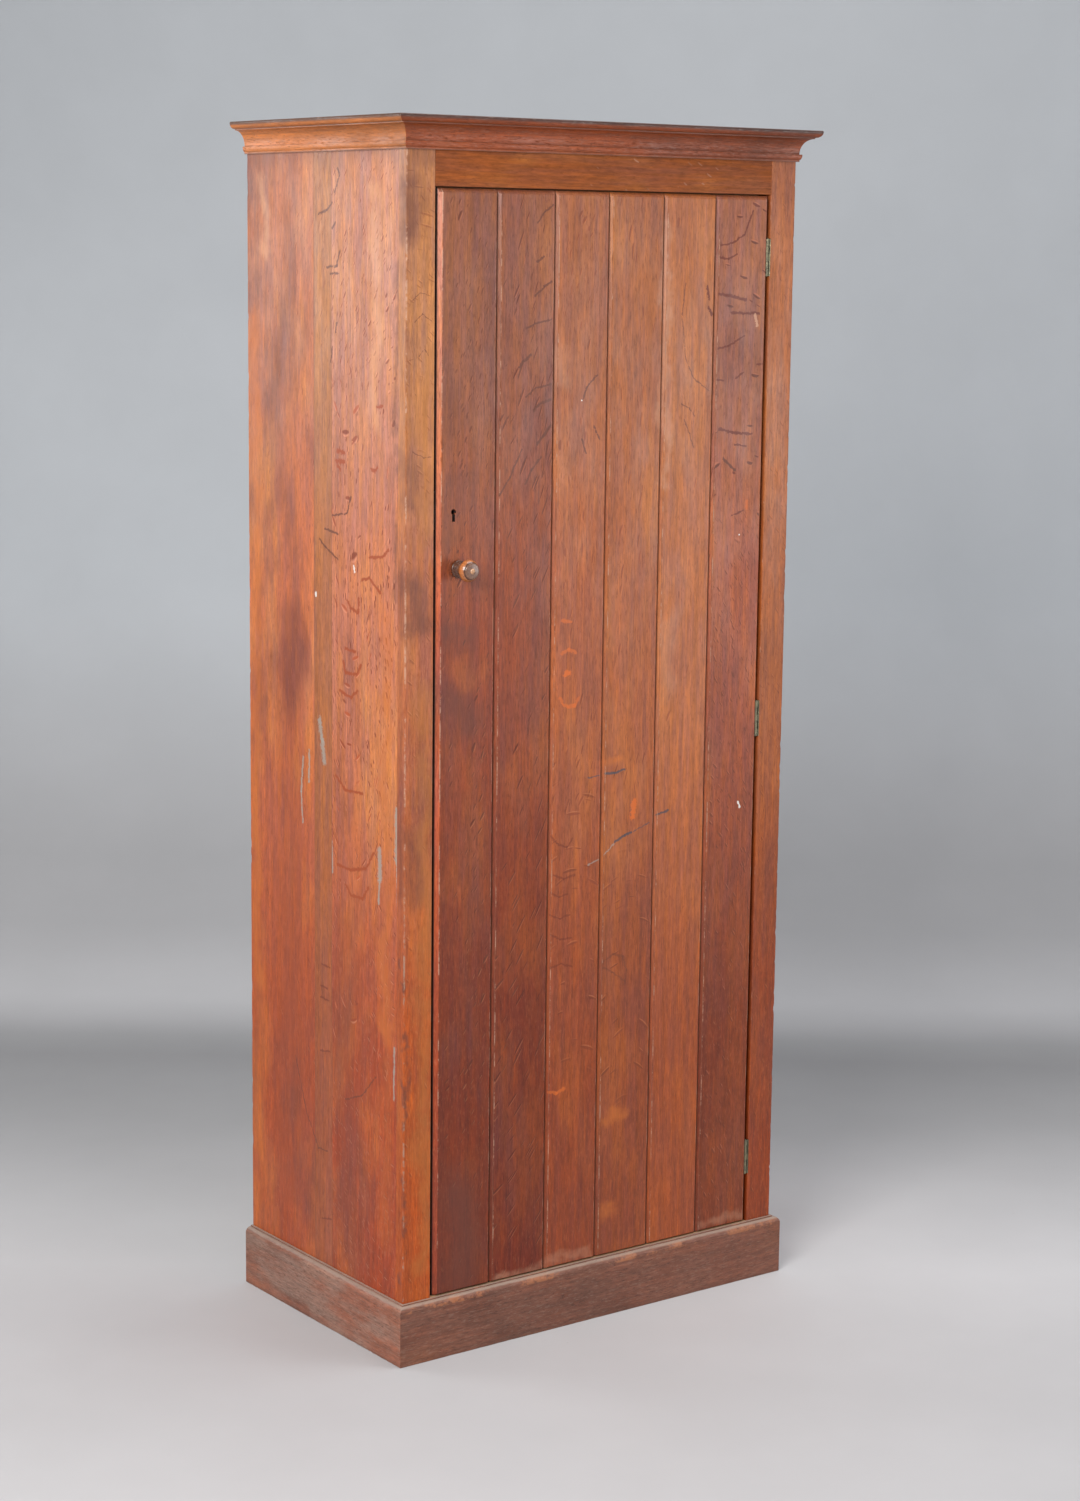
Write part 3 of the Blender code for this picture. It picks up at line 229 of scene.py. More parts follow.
# Colours, linear
DEEP_RED = (0.130, 0.020, 0.008)
ORANGE_RED = (0.460, 0.085, 0.022)
RUST = (0.330, 0.062, 0.016)
BRIGHT_ORANGE = (0.560, 0.150, 0.024)
GOLDEN = (0.600, 0.240, 0.075)
WARMER = (1.10, 1.05, 0.74)
COOLER = (0.91, 0.93, 1.15)
WORN_EDGE_AND_HIGHLIGHT = (0.500, 0.290, 0.200)
BROKEN_EDGE = (0.330, 0.230, 0.170)
PLINTH_EDGE = (0.420, 0.150, 0.060)
OLD_DIRT_AND_SHADE = (0.190, 0.078, 0.046)
BLACK_DIRT_AND_SHADE = (0.020, 0.010, 0.008)
GREY_SCUFF = (0.330, 0.290, 0.250)
DARK_SCRATCH = (0.070, 0.060, 0.070)
WHITE_CHIP = (0.780, 0.760, 0.720)
DUST = (0.400, 0.310, 0.250)
PURPLE_STAIN = (0.155, 0.046, 0.034)
FLAME = (0.620, 0.130, 0.020)
DARK_STAIN = (0.130, 0.042, 0.028)
DARK_RED = (0.230, 0.048, 0.020)
DARK_FLECK = (0.120, 0.034, 0.018)
PALE_WOOD = (0.560, 0.290, 0.180)
PALE_GOLD = (0.700, 0.330, 0.150)
OLIVE_WOOD = (0.420, 0.155, 0.034)
PLINTH_TONE = (0.190, 0.062, 0.033)
PLINTH_SIDE_TONE = (0.280, 0.090, 0.046)
CORNICE_TONE = (0.270, 0.051, 0.008)
CORNICE_SIDE_TONE = (0.530, 0.168, 0.040)
INSIDE_TONE = (0.400, 0.235, 0.120)
BACK_TONE = (0.470, 0.310, 0.170)
KNOB_DARK = (0.120, 0.040, 0.018)
KNOB_LIGHT = (0.210, 0.076, 0.030)
KNOB_FOOT = (0.055, 0.020, 0.012)
KNOB_RUBBED = (0.440, 0.140, 0.036)
KNOB_FACE = (0.170, 0.088, 0.058)
KNOB_GROOVE_SHADE = (0.030, 0.012, 0.008)
KNOB_TIP = (0.480, 0.250, 0.130)
OLD_BRASS = ((0.30, 0.27, 0.17), (0.19, 0.18, 0.13), (0.07, 0.08, 0.06))
OLD_STEEL = ((0.32, 0.31, 0.30), (0.20, 0.19, 0.18), (0.10, 0.055, 0.03))
WARM_PAINT = (0.985, 0.970, 0.985)
COOL_PAINT = (0.925, 0.960, 1.0)
PAINT_SCUFF = (0.30, 0.29, 0.28)
SKY = (0.86, 0.90, 0.96, 1.0)
SKY_STRENGTH = 0.4

# Finishes: heights at which a board's tones meet, the top tone paler with painted sheen and the foot tone
# darker, partly painted shade; dirt of the joints with painted shade in the door's gaps; painted light of the
# chamfers; and relief
LOW_LEVEL, MIDDLE_LEVEL, HIGH_LEVEL = 0.35, 1.05, 1.55
JOINT_DIRT = 0.80
DIRTY_SHARE = 0.90
FIRST_SHADE_SHARE = 0.10
CHAMFER_PAINTED_LIGHT = 1.9
JOINT_PAINTED_LIGHT = 1.05
PLANK_WEAR_AND_HIGHLIGHT = 0.60
SIDE_SPECKS = 0.07
MARK_SHAKE = 0.0045
SMUDGE_SHAKE = 0.08
FLECK_FADE = 0.05
BUMP_STRENGTH = 0.6
OAK_RELIEF = 0.0002
DRY_RELIEF = 0.0004
KNOB_RELIEF = 0.0001
METAL_RELIEF = 0.00015

# Shade inside the keyhole: depth and drop of both its ends, and its half width
KEYHOLE_SHADE = (((0.0085, 0.0), (0.019, 0.008), 0.0092), ((0.006, 0.010), (0.016, 0.013), 0.0062))

# Marks as the photograph shows them: half width in metres, tone, strength, whether soft, and lines of places
# on the face, in millimetres
DOOR_TRACES = (
    (0.040, DARK_STAIN, 0.55, True, (((-290, 1110), (-262, 1085)), ((-275, 985), (-250, 965)))),
    (0.032, DARK_STAIN, 0.35, True, (((-290, 1440), (-262, 1400)), ((-276, 1310), (-282, 1230)))),
    (0.028, BRIGHT_ORANGE, 0.20, True, (((-262, 1040), (-250, 1020)),)),
    (0.060, DARK_STAIN, 0.60, True, (((-262, 250), (-250, 100)),)),
    (0.014, PALE_WOOD, 0.38, True, (((110, 1677), (110, 1304)), ((-182, 102), (-110, 102)))),
    (0.014, PALE_WOOD, 0.28, True, (((-90, 102), (-8, 102)), ((212, 110), (290, 110)))),
    (0.030, PALE_WOOD, 0.25, True, (((125, 1090), (125, 990)), ((-85, 1485), (-75, 1455)))),
    (0.016, BRIGHT_ORANGE, 0.50, True, (
        ((6, 873), (30, 877)), ((19, 318), (45, 322)), ((17, 160), (33, 162)),
    )),
    (0.0024, DARK_FLECK, 0.85, False, (
        ((-132, 1685), (-119, 1700), (-105, 1710)), ((-133, 1628), (-120, 1637)),
        ((-135, 1580), (-119, 1593), (-106, 1600)), ((-150, 1534), (-131, 1541), (-106, 1546)),
        ((-150, 1435), (-133, 1447), (-105, 1452)), ((-149, 1309), (-138, 1329), (-121, 1347)),
        ((-197, 1292), (-177, 1320), (-156, 1359)), ((-25, 1389), (-14, 1370)),
        ((-47, 1371), (-39, 1350)), ((-45, 1431), (-39, 1447), (-19, 1465)),
    )),
    (0.0034, DARK_FLECK, 0.90, False, (
        ((-162, 1477), (-155, 1486), (-142, 1495)), ((-135, 1415), (-123, 1425), (-105, 1430)),
        ((-130, 1366), (-117, 1378), (-105, 1392)), ((226, 1333), (250, 1314)),
    )),
    (0.0015, DARK_FLECK, 0.70, False, (
        ((145, 1598), (139, 1550), (148, 1486), (164, 1456), (195, 1437)),
        ((147, 1395), (158, 1373), (167, 1351)), ((141, 1418), (157, 1411), (168, 1399)),
    )),
    (0.0036, DEEP_RED, 0.90, False, (
        ((212, 1582), (240, 1579), (264, 1574)), ((236, 1554), (291, 1553)),
        ((217, 1378), (243, 1372), (282, 1369)), ((187, 1593), (192, 1574)),
        ((191, 1562), (198, 1551)),
    )),
    (0.0024, DEEP_RED, 0.85, False, (
        ((213, 1656), (234, 1658), (259, 1673), (275, 1708)),
        ((210, 1638), (228, 1635), (245, 1643)), ((211, 1501), (232, 1504), (263, 1520)),
        ((247, 1354), (271, 1350)), ((290, 1476), (301, 1476)), ((247, 1455), (262, 1463)),
        ((208, 1453), (223, 1452)), ((246, 1244), (268, 1251)),
    )),
    (0.0075, FLAME, 0.90, False, (((-71, 1021), (-66, 1022)), ((63, 813), (61, 790)))),
    (0.0042, FLAME, 0.60, False, (
        ((-79, 1102), (-62, 1100)), ((-79, 1052), (-66, 1058), (-53, 1052)),
        ((-81, 986), (-76, 976), (-66, 971), (-53, 973), (-46, 983)),
        ((276, 1265), (275, 1254)), ((-95, 378), (-78, 373), (-64, 379)),
    )),
    (0.0026, DEEP_RED, 0.50, False, (
        ((-94, 776), (-84, 764), (-64, 756), (-55, 769)),
        ((-90, 716), (-70, 708), (-49, 712)), ((-96, 691), (-79, 681), (-62, 684)),
        ((-96, 655), (-77, 647), (-58, 651)), ((-95, 625), (-75, 614), (-54, 614)),
        ((-94, 572), (-74, 576), (-52, 569)),
    )),
    (0.0028, DARK_FLECK, 0.40, False, (
        ((8, 569), (27, 577), (46, 572), (53, 548), (50, 527)),
        ((8, 559), (27, 549), (50, 532)),
    )),
    (0.0030, DARK_SCRATCH, 0.85, False, (
        ((6, 863), (24, 862), (43, 865)), ((27, 754), (45, 762), (59, 766)),
        ((105, 787), (131, 793)),
    )),
    (0.0018, DARK_SCRATCH, 0.70, False, (((-26, 859), (-4, 861)), ((64, 767), (93, 777)))),
    (0.0020, GREY_SCUFF, 0.60, False, (((-24, 724), (2, 733), (25, 751)),)),
    (0.0040, PALE_WOOD, 0.80, False, (((284, 1550), (288, 1535)),)),
    (0.0028, WHITE_CHIP, 0.90, False, (((272, 791), (275, 783)),)),
)
STILE_TRACES = (
    # Painted shade under the cornice.
    (0.030, DARK_STAIN, 0.45, True, (((-350, 1785), (-300, 1785)),)),
    (0.036, DARK_STAIN, 0.75, True, (((-342, 1180), (-340, 1120)), ((-354, 1740), (-350, 1670)))),
    (0.030, DARK_STAIN, 0.50, True, (((-356, 1340), (-355, 1293)), ((-350, 800), (-343, 720)))),
    (0.022, OLIVE_WOOD, 0.40, True, (((-326, 1010), (-322, 140)), ((-330, 1500), (-328, 1240)))),
    (0.008, DARK_STAIN, 0.70, True, (((-359, 622), (-359, 125)),)),
    (0.0011, DARK_FLECK, 0.70, False, (
        ((-348, 1574), (-336, 1585), (-319, 1580)), ((-345, 1544), (-331, 1555), (-316, 1544)),
        ((-338, 1495), (-329, 1506), (-321, 1497)), ((-347, 1361), (-328, 1352), (-316, 1354)),
    )),
)
SIDE_TRACES = (
    # Painted shade under the cornice.
    (0.030, DARK_STAIN, 0.45, True, (((-180, 1785), (230, 1785)),)),
    (0.048, DARK_STAIN, 0.32, True, (((158, 1477), (159, 1266)),)),
    (0.060, DARK_RED, 0.35, True, (((111, 1088), (117, 201)), ((-52, 653), (-38, 212)))),
    (0.026, BRIGHT_ORANGE, 0.50, True, (((214, 1536), (216, 500)), ((-150, 1117), (-150, 500)))),
    (0.026, BRIGHT_ORANGE, 0.25, True, (((216, 500), (216, 141)), ((-150, 500), (-150, 181)))),
    (0.020, PALE_GOLD, 0.45, True, (((-120, 1727), (-121, 1402)), ((193, 1744), (185, 1641)))),
    (0.014, DARK_STAIN, 0.55, True, (((-178, 1630), (-181, 1149)),)),
    (0.0028, DARK_FLECK, 0.85, False, (
        ((34, 1694), (11, 1699), (-4, 1710)), ((11, 1617), (-16, 1620), (-24, 1641)),
        ((1, 1608), (-20, 1609)), ((-17, 1759), (-24, 1749), (-10, 1725)),
        ((-4, 1673), (-12, 1682)), ((-12, 1524), (-16, 1537)), ((0, 1481), (-4, 1502)),
        ((-4, 1256), (-44, 1262), (-54, 1287)), ((17, 1235), (-19, 1230)),
        ((32, 1218), (17, 1208), (-19, 1192)),
    )),
    (0.0052, RUST, 0.95, False, (
        ((-18, 1352), (-36, 1351)), ((-16, 1337), (-36, 1337)), ((-19, 1330), (-25, 1326)),
    )),
    (0.0038, RUST, 0.95, False, (
        ((-108, 1331), (-118, 1329), (-125, 1335)), ((-123, 1421), (-137, 1423)),
        ((-104, 1203), (-138, 1206), (-153, 1218)), ((-84, 1168), (-104, 1173), (-133, 1154)),
        ((-44, 1134), (-54, 1124), (-74, 1118), (-76, 1140)), ((-39, 1062), (-66, 1060)),
        ((-34, 1042), (-39, 1026), (-69, 1027), (-82, 1043)),
        ((-24, 997), (-54, 990), (-72, 1003)), ((-12, 868), (-39, 849), (-86, 851)),
        ((-17, 732), (-54, 730), (-96, 740), (-117, 767)),
        ((-39, 706), (-54, 692), (-86, 692), (-102, 712)),
    )),
    (0.0024, DEEP_RED, 0.60, False, (
        ((27, 569), (5, 568)), ((30, 535), (12, 533)), ((32, 517), (4, 515)),
        ((32, 432), (4, 436)), ((28, 164), (0, 170)),
    )),
    (0.0018, DARK_FLECK, 0.75, False, (
        ((105, 406), (72, 322), (38, 275), (11, 276)),
        ((-38, 371), (-86, 389), (-123, 427)),
    )),
    (0.0080, GREY_SCUFF, 0.80, False, (
        ((33, 946), (26, 916), (20, 884)), ((-132, 773), (-133, 730)),
        ((-178, 840), (-178, 767)),
    )),
    (0.0034, GREY_SCUFF, 0.80, False, (
        ((80, 881), (86, 827), (81, 780)), ((62, 895), (64, 845)),
        ((-1, 764), (-3, 718)), ((-133, 730), (-130, 694)), ((-178, 767), (-182, 687)),
        ((-173, 483), (-172, 404)),
    )),
    (0.0016, OLD_DIRT_AND_SHADE, 0.80, False, (((-182, 687), (-184, 578), (-190, 504), (-191, 180)),)),
    (0.0035, WHITE_CHIP, 0.85, False, (((-62, 1185), (-64, 1179)), ((43, 1136), (43, 1132)))),
)

# Shapes


def wave(places, pitch, seed):
    """Smooth random line from -1 to 1: a seeded value every pitch, joined by cosine steps."""
    places = np.asarray(places, float)
    first = math.floor(places.min() / pitch) - 1
    count = math.ceil(places.max() / pitch) - first + 3
    values = np.random.default_rng(seed).uniform(-1, 1, count)
    along = places / pitch - first
    low = np.floor(along).astype(int)
    share = (1 - np.cos(np.pi * (along - low))) / 2
    return values[low] * (1 - share) + values[low + 1] * share


def nicks(places, span, count, depth, width, seed):
    """Depth of random nicks: a sum of bell curves at seeded places along a span."""
    pick = np.random.default_rng(seed)
    centres = pick.uniform(span[0], span[1], count)
    depths = depth * pick.uniform(0.2, 1, count) ** 2
    widths = width * pick.uniform(0.4, 1.4, count)
    gaps = (np.asarray(places)[..., None] - centres) / widths
    return (depths * np.exp(-gaps ** 2)).sum(-1)


def arc(centre, radii, start, end, steps):
    """Points along part of an ellipse between two angles in degrees, as an array of pairs."""
    angles = np.radians(np.linspace(start, end, steps + 1))
    return np.column_stack((centre[0] + radii[0] * np.cos(angles), centre[1] + radii[1] * np.sin(angles)))


def rounded(corners, fade=0.0012, steps=4):
    """Closed outline whose corners are arcs tangent to both their sides.

    Each corner is (u, v, radius, wear, dirt). The points are rows of u, v, wear and
    dirt. On a side that is long enough both fade to nothing beside the arc, at a first
    row, and a second one keeps the side's flat shading apart from the worn arris.
    """
    table = np.array(corners, float)
    place = table[:, :2]
    rows = []
    count = len(table)
    for index in range(count):
        here, radius = place[index], table[index, 2]
        back = place[index - 1] - here
        ahead = place[(index + 1) % count] - here
        back_length, ahead_length = np.linalg.norm(back), np.linalg.norm(ahead)
        back, ahead = back / back_length, ahead / ahead_length
        half = math.acos(np.clip(back @ ahead, -1, 1)) / 2
        run = radius / math.tan(half) if radius else 0.0
        weights = table[index, 3:]
        if weights.any() and back_length > 4 * fade:
            rows += [(*(here + back * (run + fade * share)), 0, 0) for share in (SUPPORT_SHARE, 1)]
        if radius:
            middle = here + (back + ahead) / np.linalg.norm(back + ahead) * radius / math.sin(half)
            first, last = here + back * run - middle, here + ahead * run - middle
            shares = np.linspace(0, 1, steps + 1)[:, None]
            spread = first * (1 - shares) + last * shares
            spread *= radius / np.linalg.norm(spread, axis=1)[:, None]
            rows += [(*point, *weights) for point in middle + spread]
        else:
            rows.append((*here, *weights))
        if weights.any() and ahead_length > 4 * fade:
            rows += [(*(here + ahead * (run + fade * share)), 0, 0) for share in (1, SUPPORT_SHARE)]
    return np.array(rows)


def grid_mesh(name, points, wear=None, dirt=None, closed=True, open_ends=False):
    """Mesh of a grid of points: quads between neighbours, closed round each row and capped at its ends."""
    rows, columns = points.shape[:2]
    number = np.arange(rows * columns).reshape(rows, columns)
    after = np.roll(number, -1, axis=1)
    if not closed:
        number, after = number[:, :-1], after[:, :-1]
    quads = np.stack((number[:-1], after[:-1], after[1:], number[1:]), axis=-1).reshape(-1, 4)
    faces = quads.tolist()
    if closed and not open_ends:
        faces += [number[0][::-1].tolist(), number[-1].tolist()]
    mesh = bpy.data.meshes.new(name)
    mesh.from_pydata(points.reshape(-1, 3).tolist(), [], faces)
    for label, values in (("wear", wear), ("dirt", dirt)):
        if values is not None:
            layer = mesh.attributes.new(label, "FLOAT", "POINT")
            values = np.broadcast_to(values, (rows, columns)).astype(np.float32)
            layer.data.foreach_set("value", values.ravel())
    return mesh


def piece_from(name, mesh, merge=0.0):
    """Object of a mesh, its doubles merged if asked, its faces turned out and its curves smooth."""
    work = bmesh.new()
    work.from_mesh(mesh)
    if merge:
        bmesh.ops.remove_doubles(work, verts=work.verts, dist=merge)
    bmesh.ops.recalc_face_normals(work, faces=work.faces)
    work.to_mesh(mesh)
    work.free()
    mesh.shade_smooth()
    mesh.set_sharp_from_angle(angle=math.radians(SMOOTH_ANGLE))
    item = bpy.data.objects.new(name, mesh)
    bpy.context.scene.collection.objects.link(item)
    return item


def carried(name, outline, stations, place):
    """Solid of a closed outline carried along stations.

    Point (i, j) is place(u, v, wear, s) with u, v and wear of outline point j and s of
    station i, worked out for the whole grid at once.
    """
    u, v, wear, dirt = (outline[None, :, k] for k in range(4))
    s = np.asarray(stations, float)[:, None]
    grid = np.stack(np.broadcast_arrays(*place(u, v, wear, s)), axis=-1)
    return piece_from(name, grid_mesh(name, grid, wear, dirt))


def turned(name, profile, foot, along, segments):
    """Solid turned about an axis: ring i lies profile[i][0] along it with radius profile[i][1]."""
    axis = Vector(along).normalized()
    side = axis.orthogonal().normalized()
    other = np.array(axis.cross(side))
    reach, radius = np.array(profile, float).T
    angles = np.linspace(0, 2 * np.pi, segments, endpoint=False)
    spokes = np.cos(angles)[:, None] * np.array(side) + np.sin(angles)[:, None] * other
    grid = np.array(foot) + reach[:, None, None] * np.array(axis) + radius[:, None, None] * spokes
    return piece_from(name, grid_mesh(name, grid), merge=MERGE_DISTANCE)


def box_piece(name, low, high):
    """Plain box, used as a cutting shape."""
    outline = np.array([(low[0], low[1]), (high[0], low[1]), (high[0], high[1]), (low[0], high[1])])
    grid = np.array([[(x, y, z) for x, y in outline] for z in (low[2], high[2])])
    return piece_from(name, grid_mesh(name, grid))


def cut(item, tools):
    """Take the tool shapes out of a piece and remove them."""
    for tool in tools:
        step = item.modifiers.new("cut", "BOOLEAN")
        step.operation = "DIFFERENCE"
        step.solver = "EXACT"
        step.object = tool
    bpy.context.view_layer.update()
    ready = item.evaluated_get(bpy.context.evaluated_depsgraph_get())
    mesh = bpy.data.meshes.new_from_object(ready)
    item.modifiers.clear()
    item.data = mesh
    mesh.set_sharp_from_angle(angle=math.radians(SMOOTH_ANGLE))
    for tool in tools:
        bpy.data.objects.remove(tool)
    return item


def copied(node):
    """Copy of a CAD piece with its loose triangles merged and its flat faces made whole."""
    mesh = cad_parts[node].data.copy()
    mesh.name = node + "_copy"
    item = piece_from(node + "_copy", mesh, merge=MERGE_DISTANCE)
    work = bmesh.new()
    work.from_mesh(mesh)
    bmesh.ops.dissolve_limit(work, angle_limit=math.radians(0.5), verts=work.verts, edges=work.edges)
    work.to_mesh(mesh)
    work.free()
    return item


def softened(node, body, slot, material, width=WOOD_ARRIS):
    """Copy of a CAD piece with its arrises slightly rounded, in its finish."""
    item = copied(node)
    edge = item.modifiers.new("arrises", "BEVEL")
    edge.width = width
    edge.segments = 2
    edge.limit_method = "ANGLE"
    edge.angle_limit = math.radians(35)
    edge.use_clamp_overlap = True
    edge.harden_normals = True
    item.data.shade_smooth()
    return fit(item, body, slot, material, node)


def even(low, high, pitch, ends=()):
    """Stations from low to high about a pitch apart, with extra ones at these distances from both ends."""
    inner = np.linspace(low, high, max(2, round((high - low) / pitch) + 1))
    extra = [low + gap for gap in ends] + [high - gap for gap in ends]
    return np.unique(np.round(np.concatenate((inner, extra)), 6))


def fit(item, body, slot, material, *nodes):
    """Give a piece its body and finish, and hide the nodes that it stands for. Its slot is not used."""
    item.data.materials.clear()
    item.data.materials.append(material)
    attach(item, body)
    if nodes:
        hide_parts(*nodes)
    return item


def paint_faces(item, *areas, least=0.96):
    """Give the faces that point along each area's direction that area's finish."""
    normals = np.zeros(len(item.data.polygons) * 3, np.float32)
    item.data.polygons.foreach_get("normal", normals)
    chosen = np.zeros(len(item.data.polygons), np.int32)
    for number, (direction, material) in enumerate(areas, 1):
        item.data.materials.append(material)
        facing = normals.reshape(-1, 3) @ np.array(Vector(direction).normalized(), np.float32) > least
        chosen[facing] = number
    item.data.polygons.foreach_set("material_index", chosen)
    item.data.update()


# Finishes


class Value:
    """What a node's output gives over the surface. Its sums and steps add the nodes that work them out."""

    def __init__(self, bench, socket):
        self.bench = bench
        self.socket = socket

    def sum(self, operation, first, second):
        """A number or a vector made of two, by the kind of this value."""
        kind = "Math" if self.socket.type == "VALUE" else "VectorMath"
        return self.bench.put(kind, {0: first, 1: second}, operation=operation)

    def __add__(self, other):
        return self.sum("ADD", self, other)

    def __radd__(self, other):
        return self.sum("ADD", other, self)

    def __sub__(self, other):
        return self.sum("SUBTRACT", self, other)

    def __rsub__(self, other):
        return self.sum("SUBTRACT", other, self)

    def __mul__(self, other):
        return self.sum("MULTIPLY", self, other)

    def __truediv__(self, other):
        return self.sum("DIVIDE", self, other)

    def __rtruediv__(self, other):
        return self.sum("DIVIDE", other, self)

    def measure(self, operation, other):
        """Distance between two vectors, or their product, as a number."""
        return self.bench.put("VectorMath", {0: self, 1: other}, "Value", operation=operation)

    def axes(self):
        """The three numbers of a vector."""
        return self.bench.put("SeparateXYZ", {0: self}, 0, 1, 2)

    def noise(self, detail=2.0, rough=0.5, scale=1.0, output="Fac"):
        """Cloudy noise at this place."""
        feeds = {"Vector": self, "Scale": scale, "Detail": detail, "Roughness": rough}
        return self.bench.put("TexNoise", feeds, output)

    def shake(self, reach, detail, rough, scale):
        """This place moved about by a cloudy noise, by half the reach at most."""
        return self + (self.noise(detail, rough, scale, "Color") - (0.5, 0.5, 0.5)) * (reach, reach, reach)

    def span(self, low, high, first=0.0, last=1.0):
        """Smooth step of this number between two levels."""
        feeds = {"Value": self, "From Min": low, "From Max": high, "To Min": first, "To Max": last}
        return self.bench.put("MapRange", feeds, interpolation_type="SMOOTHSTEP")

    def blend(self, share, over, mode="MIX"):
        """This colour with a share of another laid over it."""
        return self.bench.blend(share, self, over, mode)

    def times(self, value, low, high):
        """This colour made darker or lighter by a value's level, between two factors."""
        level = value.span(0.25, 0.75, low, high)
        return self.blend(1.0, self.bench.join(level, level, level), "MULTIPLY")


class Bench:
    """Adds nodes to one node tree, links or sets what is fed to them, and gives their outputs as values."""

    def __init__(self, tree):
        self.tree = tree

    def feed(self, node, feeds):
        """Feed a node's inputs, which are named or numbered."""
        for place, value in feeds.items():
            socket = node.inputs[place]
            if isinstance(value, Value):
                self.tree.links.new(value.socket, socket)
            else:
                socket.default_value = (*value, 1.0) if socket.type == "RGBA" else value

    def put(self, kind, feeds, *outputs, **settings):
        """Add a node, and give the outputs asked for, or its first one."""
        node = self.tree.nodes.new("ShaderNode" + kind)
        for option, value in settings.items():
            setattr(node, option, value)
        self.feed(node, feeds)
        values = [Value(self, node.outputs[output]) for output in outputs or (0,)]
        return values if len(outputs) > 1 else values[0]

    def group(self, name, **feeds):
        """Place a node group, and give its outputs by name."""
        node = self.tree.nodes.new("ShaderNodeGroup")
        node.node_tree = bpy.data.node_groups[name]
        self.feed(node, {titled(label): value for label, value in feeds.items()})
        return plain_names(self, node.outputs)

    def join(self, x, y, z):
        """Vector of three numbers."""
        return self.put("CombineXYZ", {0: x, 1: y, 2: z})

    def scale(self, vector, factor):
        """Vector made longer by a factor that changes over the surface."""
        return self.put("VectorMath", {0: vector, "Scale": factor}, operation="SCALE")

    def blend(self, share, first, second, mode="MIX"):
        """First colour with a share of the second laid over it."""
        return self.put("Mix", {0: share, 6: first, 7: second}, 2, data_type="RGBA", blend_type=mode)

    def weight(self, label):
        """A weight that new pieces carry on their vertices, and that other pieces read as nothing."""
        return self.put("Attribute", {}, "Fac", attribute_name=label)


def titled(label):
    """Name of a socket from a word of this script, as in Ring Width from ring_width."""
    return label.replace("_", " ").title()


def plain_names(bench, sockets):
    """Values of named sockets, under this script's words for them."""
    words = [socket.name.lower().replace(" ", "_") for socket in sockets]
    return SimpleNamespace(**{word: Value(bench, socket) for word, socket in zip(words, sockets)})


def new_group(name, outputs, **inputs):
    """Shader node group with its bench, its inputs' values and a function that links an output.

    Inputs and outputs are numbers, apart from the inputs without a value, which are vectors.
    """
    tree = bpy.data.node_groups.new(name, "ShaderNodeTree")
    for label, value in inputs.items():
        kind = "NodeSocketVector" if value is None else "NodeSocketFloat"
        socket = tree.interface.new_socket(titled(label), in_out="INPUT", socket_type=kind)
        if value is not None:
            socket.default_value = value
    for label in outputs.split():
        tree.interface.new_socket(titled(label), in_out="OUTPUT", socket_type="NodeSocketFloat")
    bench = Bench(tree)
    given = tree.nodes.new("NodeGroupInput").outputs
    result = tree.nodes.new("NodeGroupOutput")

    def give(label, value):
        bench.feed(result, {titled(label): value})

    return bench, plain_names(bench, given), give


def make_grain_group():
    """Grain of one board whose length is Z: slow rings, fine fibre, dark pores and pale glints."""
    bench, given, give = new_group(
        "Oak grain", "rings fibre pores glints", vector=None, seed=0.0, ring_width=0.009, wander=0.01
    )
    place = given.vector + bench.scale((3.7, 1.9, 5.3), given.seed)
    sway = ((place * (6.0, 6.0, 0.9)).noise(1.0) - 0.5) * given.wander
    place = place + bench.join(sway, 0.0, 0.0)
    pitch = 1.0 / given.ring_width
    give("rings", (place * bench.join(pitch, pitch, 0.45)).noise(2.0, 0.55))
    give("fibre", (place * (420.0, 420.0, 26.0)).noise(2.0, 0.65))
    pores = (place * (560.0, 560.0, 105.0)).noise(2.0, 0.6)
    give("pores", pores.span(0.55, 0.70))
    give("glints", pores.span(0.45, 0.30))


def make_fleck_group():
    """Ray flecks of quarter-sawn oak, as thin lens-shaped sheets that the surface cuts at a low angle.

    The depth at which the surface cuts them is the surface's own depth, plus a parabola
    across the board about Centre, plus one along it about Turn, plus a slow drift. Lines
    of equal depth are the flecks' directions, and where it changes slowly they are broad.
    Each has a dark side and, on its other side, a painted highlight that is raised in the bump too, so that
    it stands out as low relief.
    """
    bench, given, give = new_group(
        "Ray flecks", "flecks rims tint", vector=None, seed=0.0, centre=0.0, curve=0.8, turn=0.0, bend=0.0,
        drift=0.02, reach=0.018, thickness=0.0004, density=0.5, size=0.42, low=-9.0, high=9.0,
    )
    x, y, z = given.vector.axes()
    across, beyond = x - given.centre, z - given.turn
    slow = bench.join(x * 8.0, given.seed, z * 4.0).noise(1.0, 0.4)
    depth = across * across * given.curve + beyond * beyond * given.bend + (y + slow * given.drift)
    cell = bench.join(across / given.reach, depth / given.thickness, z / given.reach)
    cell = cell + bench.join(given.seed, 0.0, 0.0)
    feeds = {"Vector": cell, "Scale": 1.0, "Randomness": 1.0}
    distance, own, centre = bench.put("TexVoronoi", feeds, "Distance", "Color", "Position")
    first, second, third = own.axes()
    radius = given.size * first.span(0.0, 1.0, 0.5, 1.0)
    shape = distance.span(radius, radius - 0.12)
    zone = (given.vector * (18.0, 18.0, 4.0)).noise(1.0)
    chance = given.density * zone.span(0.32, 0.66, 0.2, 1.8)
    kept = shape * second.sum("LESS_THAN", second, chance)
    above = z.span(given.low - FLECK_FADE, given.low + FLECK_FADE)
    below = z.span(given.high + FLECK_FADE, given.high - FLECK_FADE)
    kept = kept * (above * below)
    lit = (cell.axes()[1] - centre.axes()[1]).span(0.0, 0.2)
    give("flecks", kept * (1.0 - lit))
    give("rims", kept * lit)
    give("tint", third)


